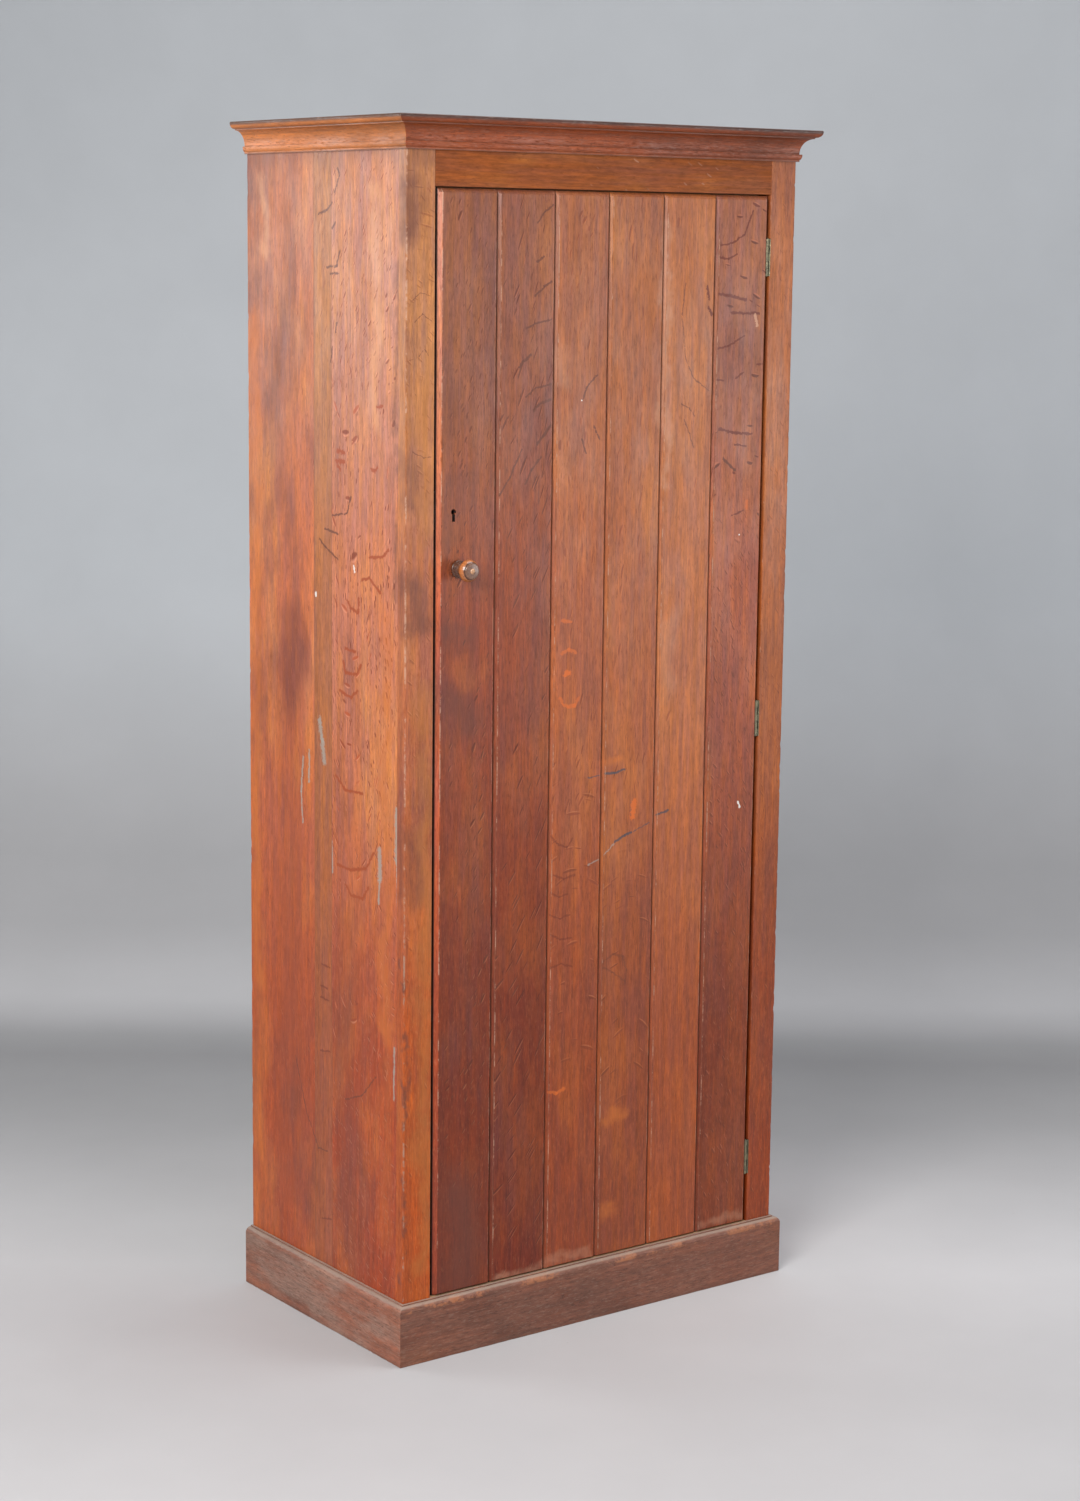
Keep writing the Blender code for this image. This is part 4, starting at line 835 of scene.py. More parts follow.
def make_polish_group():
    """Old polish: broad dark stains, and patches where the finish has worn through to warm wood."""
    bench, given, give = new_group(
        "Old polish", "stain warm sheen mottle hue", vector=None, seed=0.0, scale=6.0
    )
    moved = given.vector + bench.join(given.seed, 0.0, given.seed)
    stretched = bench.scale(moved, given.scale) * (1.6, 1.6, 0.62)
    give("stain", stretched.noise(3.0, 0.6).span(0.46, 0.72))
    give("warm", (stretched + (7.3, 2.1, 4.4)).noise(3.0, 0.6).span(0.46, 0.70))
    give("sheen", (stretched * (3.0, 3.0, 3.0)).noise(2.0, 0.65))
    give("mottle", (moved * (190.0, 190.0, 50.0)).noise(3.0, 0.65))
    give("hue", (moved * (70.0, 70.0, 7.0)).noise(3.0, 0.65))


def make_wear_group():
    """Broken-up wear along an arris from its own weight and a noise."""
    _, given, give = new_group("Edge wear", "worn", vector=None, edge=0.0, amount=0.5)
    level = given.vector.noise(4.0, 0.65, 26.0) * 0.7 + given.vector.noise(3.0, 0.6, 210.0) * 0.3
    bar = 0.78 - given.amount * 0.5
    give("worn", level.span(bar, bar + 0.12) * given.edge.span(0.35, 0.95))


def make_speck_group():
    """Small scattered specks: a few of the random points, each a ragged dot."""
    bench, given, give = new_group("Specks", "specks", vector=None, scale=60.0, chance=0.02, size=0.06)
    moved = given.vector + given.vector.noise(1.0, scale=600.0, output="Color") * (0.0012, 0.0012, 0.0030)
    feeds = {"Vector": moved, "Scale": given.scale, "Randomness": 1.0}
    distance, own = bench.put("TexVoronoi", feeds, "Distance", "Color")
    first, second, _ = own.axes()
    size = given.size * (second + 0.35)
    give("specks", distance.span(size, size * 0.6) * first.sum("LESS_THAN", first, given.chance))


def make_stroke_group():
    """Mark along a straight line, full over a core, and thinner and broken where Breaks is low."""
    bench, given, give = new_group(
        "Stroke", "mark", vector=None, breaks=1.0, start=None, end=None, width=0.002, core=0.4
    )
    here, run = given.vector - given.start, given.end - given.start
    share = here.measure("DOT_PRODUCT", run) / run.measure("DOT_PRODUCT", run)
    share = share.sum("MAXIMUM", share, 0.0)
    share = share.sum("MINIMUM", share, 1.0)
    distance = here.measure("DISTANCE", bench.scale(run, share))
    width = given.width * given.breaks.span(0.3, 0.62, 0.45, 1.1)
    give("mark", distance.span(width, width * given.core))


Fleck = namedtuple(
    "Fleck",
    "centre curve turn bend drift reach thickness density size low high tone strength",
    defaults=(0.0, 0.5, 0.0, 0.0, 0.010, 0.016, 0.0014, 0.45, 0.42, -9.0, 9.0, DARK_FLECK, 0.80),
)
Board = namedtuple(
    "Board",
    "tone middle foot seed turn flecks stain warm wear gloss shine marks rings wander broken dirt specks",
    defaults=((0, 0, 0), (), 0.5, 0.3, 0.3, 0.40, 0.35, (), 0.009, 0.012, -1.0, OLD_DIRT_AND_SHADE, 0.012),
)
Mark = namedtuple("Mark", "start end width tone strength soft", defaults=(0.8, False))


def new_material(name):
    """Material with a bench on its tree, its shader and its object coordinates."""
    material = bpy.data.materials.new(name)
    material.use_nodes = True
    bench = Bench(material.node_tree)
    return material, bench, material.node_tree.nodes["Principled BSDF"], bench.put("TexCoord", {}, "Object")


def new_wood(name, seed, turn, rings, wander, scale=6.0):
    """Material of a board, with its place along the board and the board's own grain and old polish."""
    material, bench, shader, place = new_material(name)
    along = bench.put("Mapping", {"Vector": place, "Rotation": turn})
    grain = bench.group("Oak grain", vector=along, seed=seed, ring_width=rings, wander=wander)
    polish = bench.group("Old polish", vector=along, seed=seed, scale=scale)
    return material, bench, shader, place, along, grain, polish


def shade(tone, light):
    """A tone made lighter or darker."""
    return tuple(value * light for value in tone)


def draw_flecks(bench, along, board, tone):
    """Lay a board's layers of flecks over its tone, and return it with the flecks' relief."""
    relief = 0.0
    for number, layer in enumerate(board.flecks):
        feeds = layer._asdict()
        fleck_tone, strength = feeds.pop("tone"), feeds.pop("strength")
        drawn = bench.group("Ray flecks", vector=along, seed=board.seed + 3 * number, **feeds)
        dark = bench.blend(drawn.tint, fleck_tone, shade(board.foot, 0.55))
        tone = tone.blend(drawn.flecks * strength, dark)
        # Painted highlight on one side of each fleck.
        tone = tone.blend(drawn.rims * (strength * 0.7), shade(board.tone, 1.6))
        relief = relief + drawn.rims
    return tone, relief


def draw_marks(bench, place, marks, tone):
    """Lay placed scratches, broken up, and smudges, soft and loosely drawn, over a tone."""
    if not marks:
        return tone
    shaken = place.shake(MARK_SHAKE, 2.0, 0.5, 130.0)
    breaks = place.noise(3.0, 0.6, 260.0)
    loose = place.shake(SMUDGE_SHAKE, 4.0, 0.6, 14.0)
    for mark in marks:
        how = {"vector": loose, "core": 0.0} if mark.soft else {"vector": shaken, "breaks": breaks}
        drawn = bench.group("Stroke", start=mark.start, end=mark.end, width=mark.width, **how)
        tone = tone.blend(drawn.mark * mark.strength, mark.tone)
    return tone


def finish(bench, shader, tone, gloss, height, depth, more=None):
    """Feed colour, roughness, relief and what else is given to a material's shader."""
    normal = bench.put("Bump", {"Height": height, "Strength": BUMP_STRENGTH, "Distance": depth})
    bench.feed(shader, {"Base Color": tone, "Roughness": gloss, "Normal": normal, **(more or {})})


def oak(name, board):
    """Stained quarter-sawn oak of one board, whose tone changes from its foot by its middle to its top."""
    material, bench, shader, place, along, grain, polish = new_wood(
        name, board.seed, board.turn, board.rings, board.wander
    )
    # Tones by height: the top tone, paler and greyer, holds painted sheen, and the darker foot tone is partly
    # painted shade.
    level = place.axes()[2]
    risen = level.span(LOW_LEVEL, MIDDLE_LEVEL)
    tone = bench.blend(risen, board.foot, board.middle)
    tone = tone.blend(level.span(MIDDLE_LEVEL, HIGH_LEVEL), board.tone)
    tone = tone.times(grain.rings, 0.90, 1.10)
    tone = tone.blend(polish.warm * board.warm, bench.blend(risen, BRIGHT_ORANGE, GOLDEN))
    tone = tone.blend(polish.stain * board.stain, PURPLE_STAIN)
    tone = tone.blend(1.0, bench.blend(polish.hue.span(0.35, 0.65), WARMER, COOLER), "MULTIPLY")
    tone = tone.times(polish.mottle, 0.88, 1.12).times(grain.fibre, 0.82, 1.18)
    tone = tone.blend(grain.pores * 0.42, shade(board.foot, 0.50))
    tone = tone.blend(grain.glints * 0.22, shade(board.tone, 1.55))
    tone, relief = draw_flecks(bench, along, board, tone)
    tone = draw_marks(bench, place, board.marks, tone)
    # Dirt in the joints and glue lines, and painted shade in the gaps beside the door's edges.
    tone = tone.blend(bench.weight("dirt").span(0.1, 0.9) * 0.9, board.dirt)
    # Lighter worn arrises: wear, and a painted highlight along them.
    worn = bench.group("Edge wear", vector=place, edge=bench.weight("wear"), amount=board.wear).worn
    edge = bench.blend(level.span(board.broken, board.broken + 0.2), BROKEN_EDGE, WORN_EDGE_AND_HIGHLIGHT)
    tone = tone.blend(worn * 0.7, edge)
    specks = bench.group("Specks", vector=place, scale=42.0, chance=board.specks, size=0.06).specks
    tone = tone.blend(specks, WHITE_CHIP)
    height = grain.fibre * 0.35 + relief * 1.2 - grain.pores * 0.4
    gloss = polish.sheen.span(0.25, 0.75, board.gloss - 0.06, board.gloss + 0.08) + worn * 0.2
    finish(bench, shader, tone, gloss, height, OAK_RELIEF, {"Specular IOR Level": board.shine})
    return material


def bare_wood(name, tone, seed, turn=(0, 0, 0), rings=0.012, dust=0.3):
    """Dry unfinished board of the inside or the back, with grey dust in its fibre."""
    material, bench, shader, _, _, grain, polish = new_wood(name, seed, turn, rings, 0.02, 4.0)
    base = bench.blend(grain.rings.span(0.3, 0.7), shade(tone, 0.66), shade(tone, 1.15))
    base = base.times(grain.fibre, 0.8, 1.18)
    base = base.blend(grain.pores * 0.5, shade(tone, 0.4))
    base = base.blend(polish.stain * 0.45, shade(tone, 0.45))
    base = base.blend(polish.warm * dust, DUST)
    height = grain.fibre - grain.pores * 0.5
    finish(bench, shader, base, polish.sheen.span(0.2, 0.8, 0.62, 0.82), height, DRY_RELIEF)
    return material


def moulded_oak(name, tone, seed, turn, wear, dust, worn_tone=WORN_EDGE_AND_HIGHLIGHT, soot=0.0, scuff=0.15, haze=0.0):
    """Dark stained moulding, rubbed on its arrises, darker in its hollows with dirt and painted shade, and
    dusty on its ledges.
    """
    material, bench, shader, place, _, grain, polish = new_wood(name, seed, turn, 0.007, 0.006, 5.0)
    base = bench.blend(grain.rings.span(0.30, 0.70), shade(tone, 0.84), shade(tone, 1.16))
    base = base.blend(polish.warm * 0.35, shade(BRIGHT_ORANGE, 0.5))
    base = base.blend(polish.stain * 0.7, shade(tone, 0.38))
    base = base.blend(polish.sheen.span(0.36, 0.62) * haze, shade(DUST, 0.8))
    base = base.times(polish.mottle, 0.85, 1.15).times(grain.fibre, 0.86, 1.14)
    crown = place.axes()[2].span(TOP - SOOT_DEPTH, TOP - SOOT_FADE)
    base = base.blend(crown * soot, BLACK_DIRT_AND_SHADE)
    base = base.blend(grain.pores * 0.6, shade(tone, 0.35))
    base = base.blend(grain.glints * scuff, DUST)
    # Dirt and painted shade in the hollows: under the nose, at the feet of the cavetto and bead, in the
    # plinth's quirk and at its foot.
    base = base.blend(bench.weight("dirt").span(0.1, 0.9) * 0.7, OLD_DIRT_AND_SHADE)
    worn = bench.group("Edge wear", vector=place, edge=bench.weight("wear"), amount=wear).worn
    base = base.blend(worn * 0.75, worn_tone)
    lies = bench.put("NewGeometry", {}, "Normal").axes()[2].span(0.55, 0.95)
    cover = place.noise(3.0, 0.7, 90.0).span(0.10, 0.45)
    base = base.blend(lies * cover * dust, DUST)
    specks = bench.group("Specks", vector=place, scale=55.0, chance=0.03, size=0.08).specks
    base = base.blend(specks, WHITE_CHIP)
    gloss = polish.sheen.span(0.25, 0.75, 0.37, 0.55)
    finish(bench, shader, base, gloss, grain.fibre - grain.pores, DRY_RELIEF)
    return material


def knob_wood():
    """Turned knob: polished dark wood, rubbed to orange on its flare and shoulder and greyed on its face.

    Levels are distances out from the door, as in KNOB_RINGS.
    """
    material, bench, shader, place = new_material("knob_wood")
    across, _, height = centre_of("door_knob")
    axis = place - (across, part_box("door_knob")[1].y, height)
    out = axis.axes()[1] * -1.0
    cut_rings = (axis * (420.0, 60.0, 420.0)).noise(3.0, 0.6)
    blotch = axis.noise(4.0, 0.6, 150.0)
    flare = out.span(0.0110, 0.0185) * out.span(0.0334, 0.0322)
    groove = out.span(0.0330, 0.0340) * out.span(0.0354, 0.0346)
    tone = bench.blend(cut_rings.span(0.3, 0.7), KNOB_DARK, KNOB_LIGHT)
    tone = tone.blend(out.span(0.0105, 0.0080) * 0.75, KNOB_FOOT)
    tone = tone.blend(flare * blotch.span(0.28, 0.60, 0.45, 1.0), KNOB_RUBBED)
    tone = tone.blend(out.span(0.0346, 0.0357) * 0.85, KNOB_FACE)
    # Painted shade in the groove round the face.
    tone = tone.blend(groove * 0.85, KNOB_GROOVE_SHADE)
    tone = tone.blend(out.span(0.0369, 0.0374), KNOB_TIP).times(cut_rings, 0.8, 1.2)
    gloss = blotch.span(0.3, 0.7, 0.22, 0.36)
    finish(bench, shader, tone, gloss, cut_rings, KNOB_RELIEF, {"Coat Weight": 0.35, "Coat Roughness": 0.18})
    return material


def old_metal(name, bright, dull, tarnish):
    """Metal that has gone dull, with tarnish spots and fine rubbing."""
    material, bench, shader, place = new_material(name)
    broad, fine = place.noise(4.0, 0.65, 120.0), place.noise(4.0, 0.7, 900.0)
    tone = bench.blend(broad.span(0.36, 0.66), bright, dull)
    tone = tone.blend(fine.span(0.56, 0.70, 0.0, 0.7), tarnish)
    metallic = fine.span(0.50, 0.72, 0.95, 0.45)
    gloss = broad.span(0.3, 0.7, 0.32, 0.57)
    finish(bench, shader, tone, gloss, fine, METAL_RELIEF, {"Metallic": metallic})
    return material


# Pieces


def centre_of(node):
    """Centre of a CAD piece's box, as three numbers."""
    return tuple((low + high) / 2 for low, high in zip(*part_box(node)))


def plain(*points, radius=0):
    """Corners of an outline without wear or dirt."""
    return [(u, v, radius, 0, 0) for u, v in points]


def plank_outline(number):
    """Outline of a door plank: chamfered face, tongue to the right and groove to the left."""
    low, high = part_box("door_plank_%d" % number)
    first, last = number == 1, number == PLANK_COUNT
    left, right = low.x, high.x - (0.0 if last else TONGUE_LENGTH)
    face, near = low.y, low.y + TONGUE_SETBACK
    far = near + TONGUE_THICKNESS
    left_cut = DOOR_CHAMFER if first else JOINT_CHAMFER
    right_cut = DOOR_CHAMFER if last else JOINT_CHAMFER
    # On the first plank the dirt weight, in black, is painted shade in the gap beside the lock, and on the
    # last a little painted shade in the gap at the hinges; between planks it is dirt in the joints.
    share = FIRST_SHADE_SHARE if first else DIRTY_SHARE
    dirt = 1.0 if first else JOINT_DIRT
    corners = [
        (left, face + left_cut, VALLEY_ROUND, 0, dirt),
        (left + left_cut * share, face + left_cut * (1 - share), 0, 0, dirt),
        (left + left_cut, face, ARRIS_ROUND, 1.0, 0),
        (right - right_cut, face, ARRIS_ROUND, 0.8, 0),
        (right, face + right_cut, VALLEY_ROUND, 0, 0.3 if last else JOINT_DIRT),
    ]
    if not last:
        tip = right + TONGUE_LENGTH
        corners += [(right, near, 0, 0, JOINT_DIRT), *plain((tip, near), (tip, far), (right, far))]
    corners += plain((right, high.y), (left, high.y), radius=VALLEY_ROUND)
    if not first:
        deep = left + TONGUE_LENGTH + GROOVE_CLEARANCE
        top, foot = far + GROOVE_CLEARANCE, near - GROOVE_CLEARANCE
        corners += [*plain((left, top), (deep, top), (deep, foot)), (left, foot, 0, 0, JOINT_DIRT)]
    return rounded(corners)


def shape_plank(number):
    """Door plank carried from foot to top, with both ends' chamfers and nicks along its arrises."""
    node = "door_plank_%d" % number
    low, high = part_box(node)

    def place(u, v, wear, s):
        """Across and back as the outline has them, up by s, the face cut back towards both ends."""
        nick = wear * nicks(s, (low.z, high.z), *PLANK_NICKS, 40 + number)
        sway = wear * PLANK_SWAY * wave(s, PLANK_SWAY_PITCH, 60 + number)
        top = low.y + s - (high.z - DOOR_CHAMFER)
        foot = low.y + low.z + FOOT_CHAMFER - s
        return u + sway, np.maximum(np.maximum(v + nick, top), foot), s

    stations = even(low.z, high.z, SIDE_PITCH, PLANK_END_STEPS)
    item = carried(node + "_shaped", plank_outline(number), stations, place)
    if number == 1:
        cut(item, lock_tools())
    if number == PLANK_COUNT:
        cut(item, hinge_tools("door"))
    return item


def shape_planks(board_of, inside, grime):
    """Door planks, their front-left chamfers in lighter copies of their finish as painted light, and painted
    shade on the door's edge in the gap beside the lock.
    """
    for number in range(1, PLANK_COUNT + 1):
        node = "door_plank_%d" % number
        item = fit(shape_plank(number), "door", "oak_door", board_of[node], node)
        areas = [((0, 1, 0), inside), ((-1, -1, 0), board_of[node + "_rubbed"])]
        paint_faces(item, *areas, *([((-1, 0, 0), grime)] if number == 1 else []))


def keyhole_tool():
    """Shape of the keyhole: most of a circle, closed by a slot below it."""
    low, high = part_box("door_plank_1")
    across, _, height = centre_of("lock_key_pin")
    turn = math.degrees(math.asin(KEYHOLE_HALF_SLOT / KEYHOLE_RADIUS))
    hole = arc((across, height), (KEYHOLE_RADIUS, KEYHOLE_RADIUS), turn - 90, 270 - turn, 32)
    slot = [(across + half, height - KEYHOLE_DROP) for half in (-KEYHOLE_HALF_SLOT, KEYHOLE_HALF_SLOT)]
    outline = np.vstack((hole, slot))
    grid = np.array([np.insert(outline, 1, y, axis=1) for y in (low.y - OVERRUN, high.y - KEYHOLE_END)])
    return piece_from("keyhole_cut", grid_mesh("keyhole_cut", grid))


def lock_tools():
    """Shapes of the keyhole, the screw hole and the recesses of the lock in the first plank."""
    low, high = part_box("door_plank_1")
    case_low, case_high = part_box("lock_case")
    screw_low, screw_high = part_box("knob_screw")
    across, _, height = centre_of("knob_screw")
    head = (screw_high.x - screw_low.x) / 2 + SEAT_GAP
    profile = [
        (-OVERRUN, 0), (-OVERRUN, head), (SEAT_GAP, head), (SCREW_HEAD_DEPTH, SCREW_RADIUS),
        (SCREW_REACH, SCREW_RADIUS), (SCREW_REACH, 0),
    ]
    screw = turned("screw_cut", profile, (across, high.y, height), (0, -1, 0), 24)
    pocket = box_piece(
        "lock_cut", (low.x - OVERRUN, high.y - POCKET_DEPTH, case_low.z + SELVEDGE_END - SEAT_GAP),
        (case_high.x + SEAT_GAP, high.y + OVERRUN, case_high.z - SELVEDGE_END + SEAT_GAP),
    )
    selvedge = box_piece(
        "selvedge_cut", (low.x - OVERRUN - SEAT_GAP, case_low.y - SEAT_GAP, case_low.z - SEAT_GAP),
        (low.x + SELVEDGE_DEPTH, high.y + OVERRUN + SEAT_GAP, case_high.z + SEAT_GAP),
    )
    return [keyhole_tool(), screw, pocket, selvedge]


def hinge_tools(side):
    """Shapes of the leaves' recesses in the door's edge, with coves for the knuckles, or in the stile's."""
    tools = []
    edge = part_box("door_plank_%d" % PLANK_COUNT)[1]
    stile_low, stile_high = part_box("right_stile")
    for word in LEVEL_WORDS:
        low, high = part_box("hinge_%s_%s_leaf" % (word, side))
        foot, top = low.z - SEAT_GAP, high.z + SEAT_GAP
        if side == "door":
            pin_low, pin_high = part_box("hinge_%s_pin" % word)
            x, y, _ = centre_of("hinge_%s_pin" % word)
            far = (edge.x + OVERRUN, edge.y + OVERRUN, top)
            tools.append(box_piece("gain", (edge.x - LEAF_DEPTH, y, foot), far))
            length = pin_high.z - pin_low.z + 2 * BOLT_GAP
            profile = [(0, 0), (0, COVE_RADIUS), (length, COVE_RADIUS), (length, 0)]
            tools.append(turned("cove", profile, (x, y, pin_low.z - BOLT_GAP), (0, 0, 1), 32))
        else:
            near = (stile_low.x - OVERRUN, stile_low.y - OVERRUN, foot)
            tools.append(box_piece("gain", near, (stile_low.x + LEAF_DEPTH, stile_high.y + OVERRUN, top)))
    return tools


def strike_tools():
    """Shapes of the strike plate's seat and of the bolt's mortice in the left stile."""
    low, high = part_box("strike_plate")
    bolt_low, bolt_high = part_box("lock_bolt")
    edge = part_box("left_stile")[1]
    seat = box_piece(
        "seat", tuple(value - SEAT_GAP for value in low),
        (edge.x + OVERRUN, edge.y + OVERRUN, high.z + SEAT_GAP),
    )
    mortice = box_piece(
        "mortice", (edge.x - MORTICE_DEPTH, bolt_low.y - BOLT_GAP, bolt_low.z - BOLT_GAP),
        (edge.x + OVERRUN + SEAT_GAP, bolt_high.y + BOLT_GAP, bolt_high.z + BOLT_GAP),
    )
    return [seat, mortice]


def shape_stile(side, board, inside):
    """Stile of the face frame on the side -1 or 1, its arrises worn and nicked."""
    node = SIDE_WORDS[side] + "_stile"
    low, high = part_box(node)
    outer, inner = (low.x, high.x)[::-side]
    back = high.y + JOINT_FILL
    corners = [
        (inner, low.y, INNER_ARRIS, 0.7, 0), (outer, low.y, STILE_ARRIS, 1.0, 0), (outer, back, 0, 0, 0.25),
        (inner, back, 0, 0, 0),
    ]

    def place(u, v, wear, s):
        """Across and back as the outline has them, up by s, the outer arris pulled in by nicks."""
        nick = wear * nicks(s, (low.z, high.z), *STILE_NICKS, 7 + side)
        nick = np.where(np.abs(u) > OUTER_ARRIS_FROM, nick, 0.1 * nick)
        return u - side * nick * 0.7, v + nick, s

    item = carried(node + "_shaped", rounded(corners), even(low.z, high.z, STILE_PITCH), place)
    cut(item, hinge_tools("frame") if side > 0 else strike_tools())
    fit(item, "carcass", "oak_frame", board, node)
    paint_faces(item, ((0, 1, 0), inside))


def shape_rail(board, inside):
    """Top rail of the face frame, its lower arris worn and nicked."""
    low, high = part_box("top_rail")
    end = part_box("right_stile")[0].x - RAIL_END_GAP
    corners = [
        (low.y, low.z, INNER_ARRIS, 0.8, 0), (low.y, high.z, RAIL_BACK_ARRIS, 0, 0),
        (high.y, high.z, 0, 0, 0), (high.y, low.z, RAIL_BACK_ARRIS, 0, 0),
    ]

    def place(u, v, wear, s):
        """Depth and height as the outline has them, across by s."""
        return s, u + wear * nicks(s, RAIL_NICK_SPAN, *RAIL_NICKS, 21), v

    item = carried("top_rail_shaped", rounded(corners), even(-end, end, RAIL_PITCH), place)
    fit(item, "carcass", "oak_frame", board, "top_rail")
    paint_faces(item, ((0, 1, 0), inside))


def shape_side(side, board_of, inside):
    """Side panel of three boards glued edge to edge, with a rebate for the back and a worn back arris."""
    node = SIDE_WORDS[side] + "_side_panel"
    low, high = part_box(node)
    outer, inner = (low.x, high.x)[::-side]
    step, rebate = high.y - BACK_BOARD_SEAT, inner + side * BACK_REBATE
    edges = (low.y - JOINT_FILL / 2, *SIDE_JOINTS, high.y)

    def place(u, v, wear, s):
        """Across and back as the outline has them, up by s, the back arris pulled in by nicks."""
        nick = wear * nicks(s, (low.z, high.z), *SIDE_NICKS, 30 + side)
        return u - side * nick * 0.7, v - nick, s

    for number, (near, far) in enumerate(zip(edges, edges[1:])):
        corners = [(inner, near, 0, 0, 0), (outer, near, GLUE_LINE, 0, 0.6 if number else 0.25)]
        if number < len(SIDE_JOINTS):
            corners += [(outer, far, GLUE_LINE, 0, 0.6), (inner, far, 0, 0, 0)]
        else:
            corners += [
                (outer, far, STILE_ARRIS, 1.0, 0), (rebate, far, REBATE_ARRIS, 0, 0),
                (rebate, step, 0, 0, 0), (inner, step, REBATE_ARRIS, 0, 0),
            ]
        name = "%s_%d" % (node, number + 1)
        item = carried(name, rounded(corners), even(low.z, high.z, SIDE_PITCH), place)
        fit(item, "carcass", "oak_side", board_of[name], node)
        paint_faces(item, ((-side, 0, 0), inside))


def stacked(*parts):
    """Rows of reach, height, wear and dirt from parts that each give their points, wear and dirt."""
    return np.array([(*point, wear, dirt) for points, wear, dirt in parts for point in points])


def cornice_outline():
    """Cornice moulding from its back round its nose, fillet, cavetto and bead."""
    nose_foot = TOP - NOSE_DEPTH
    cavetto_foot = nose_foot - FILLET_DEPTH - CAVETTO_HEIGHT
    lip = cavetto_foot - BEAD_LIP_RISE
    bead_top = lip - BEAD_LIP_EDGE
    nose_middle = TOP - NOSE_TOP_ROUND
    nose_top = arc((CORNICE_REACH - NOSE_TOP_ROUND, nose_middle), (NOSE_TOP_ROUND, NOSE_TOP_ROUND), 90, 0, 6)
    nose_radii = (CORNICE_REACH - NOSE_UNDER_REACH, nose_middle - nose_foot)
    cavetto_radii = (FILLET_REACH - CAVETTO_FOOT_REACH, CAVETTO_HEIGHT)
    bead_radii = (BEAD_LIP_REACH - BEAD_FOOT_REACH, BEAD_HEIGHT)
    return stacked(
        ([(MOULDING_SEAT, TOP - CORNICE_HEIGHT), (MOULDING_SEAT, TOP), (NOSE_UNDER_REACH, TOP)], 0.0, 0.0),
        (nose_top, 1.0, 0.0),
        (arc((NOSE_UNDER_REACH, nose_middle), nose_radii, 0, -90, 14)[1:], 0.25, 0.0),
        ([(FILLET_REACH, nose_foot), (FILLET_REACH, nose_foot - FILLET_DEPTH / 2)], 0.0, 1.0),
        (arc((FILLET_REACH, cavetto_foot), cavetto_radii, 90, 180, 18), 0.0, 0.0),
        ([(CAVETTO_FOOT_REACH, lip)], 0.0, 1.0),
        ([(BEAD_LIP_REACH, lip)], 0.9, 0.0),
        (arc((BEAD_FOOT_REACH, bead_top), bead_radii, 0, -90, 8), 0.4, 0.0),
        ([(BEAD_FOOT_REACH, TOP - CORNICE_HEIGHT)], 0.0, 1.0),
    )


def plinth_outline():
    """Plinth moulding from its back round its ledge, quirk, ovolo and plain board."""
    quirk = PLINTH_HEIGHT - PLINTH_QUIRK
    start = PLINTH_LEDGE + PLINTH_QUIRK_FLAT
    ovolo_foot = quirk - PLINTH_OVOLO_HEIGHT
    foot_middle = (PLINTH_REACH - PLINTH_FOOT_ROUND, PLINTH_FOOT_ROUND)
    ledge = [(PLINTH_LEDGE - LEDGE_BEVEL, PLINTH_HEIGHT), (PLINTH_LEDGE, PLINTH_HEIGHT - LEDGE_BEVEL)]
    return stacked(
        ([(MOULDING_SEAT, 0.0), (MOULDING_SEAT, PLINTH_HEIGHT)], 0.0, 0.0),
        (ledge, 0.8, 0.0),
        ([(PLINTH_LEDGE, quirk), (start, quirk)], 0.0, 1.0),
        (arc((start, ovolo_foot), (PLINTH_REACH - start, PLINTH_OVOLO_HEIGHT), 84, 0, 12), 0.9, 0.0),
        ([(PLINTH_REACH, ovolo_foot - PLINTH_FLAT_TOP_GAP)], 0.1, 0.0),
        ([(PLINTH_REACH, PLINTH_FOOT_ROUND + PLINTH_FLAT_FOOT_GAP)], 0.0, 0.0),
        (arc(foot_middle, (PLINTH_FOOT_ROUND, PLINTH_FOOT_ROUND), 0, -90, 4), 0.5, 0.3),
    )


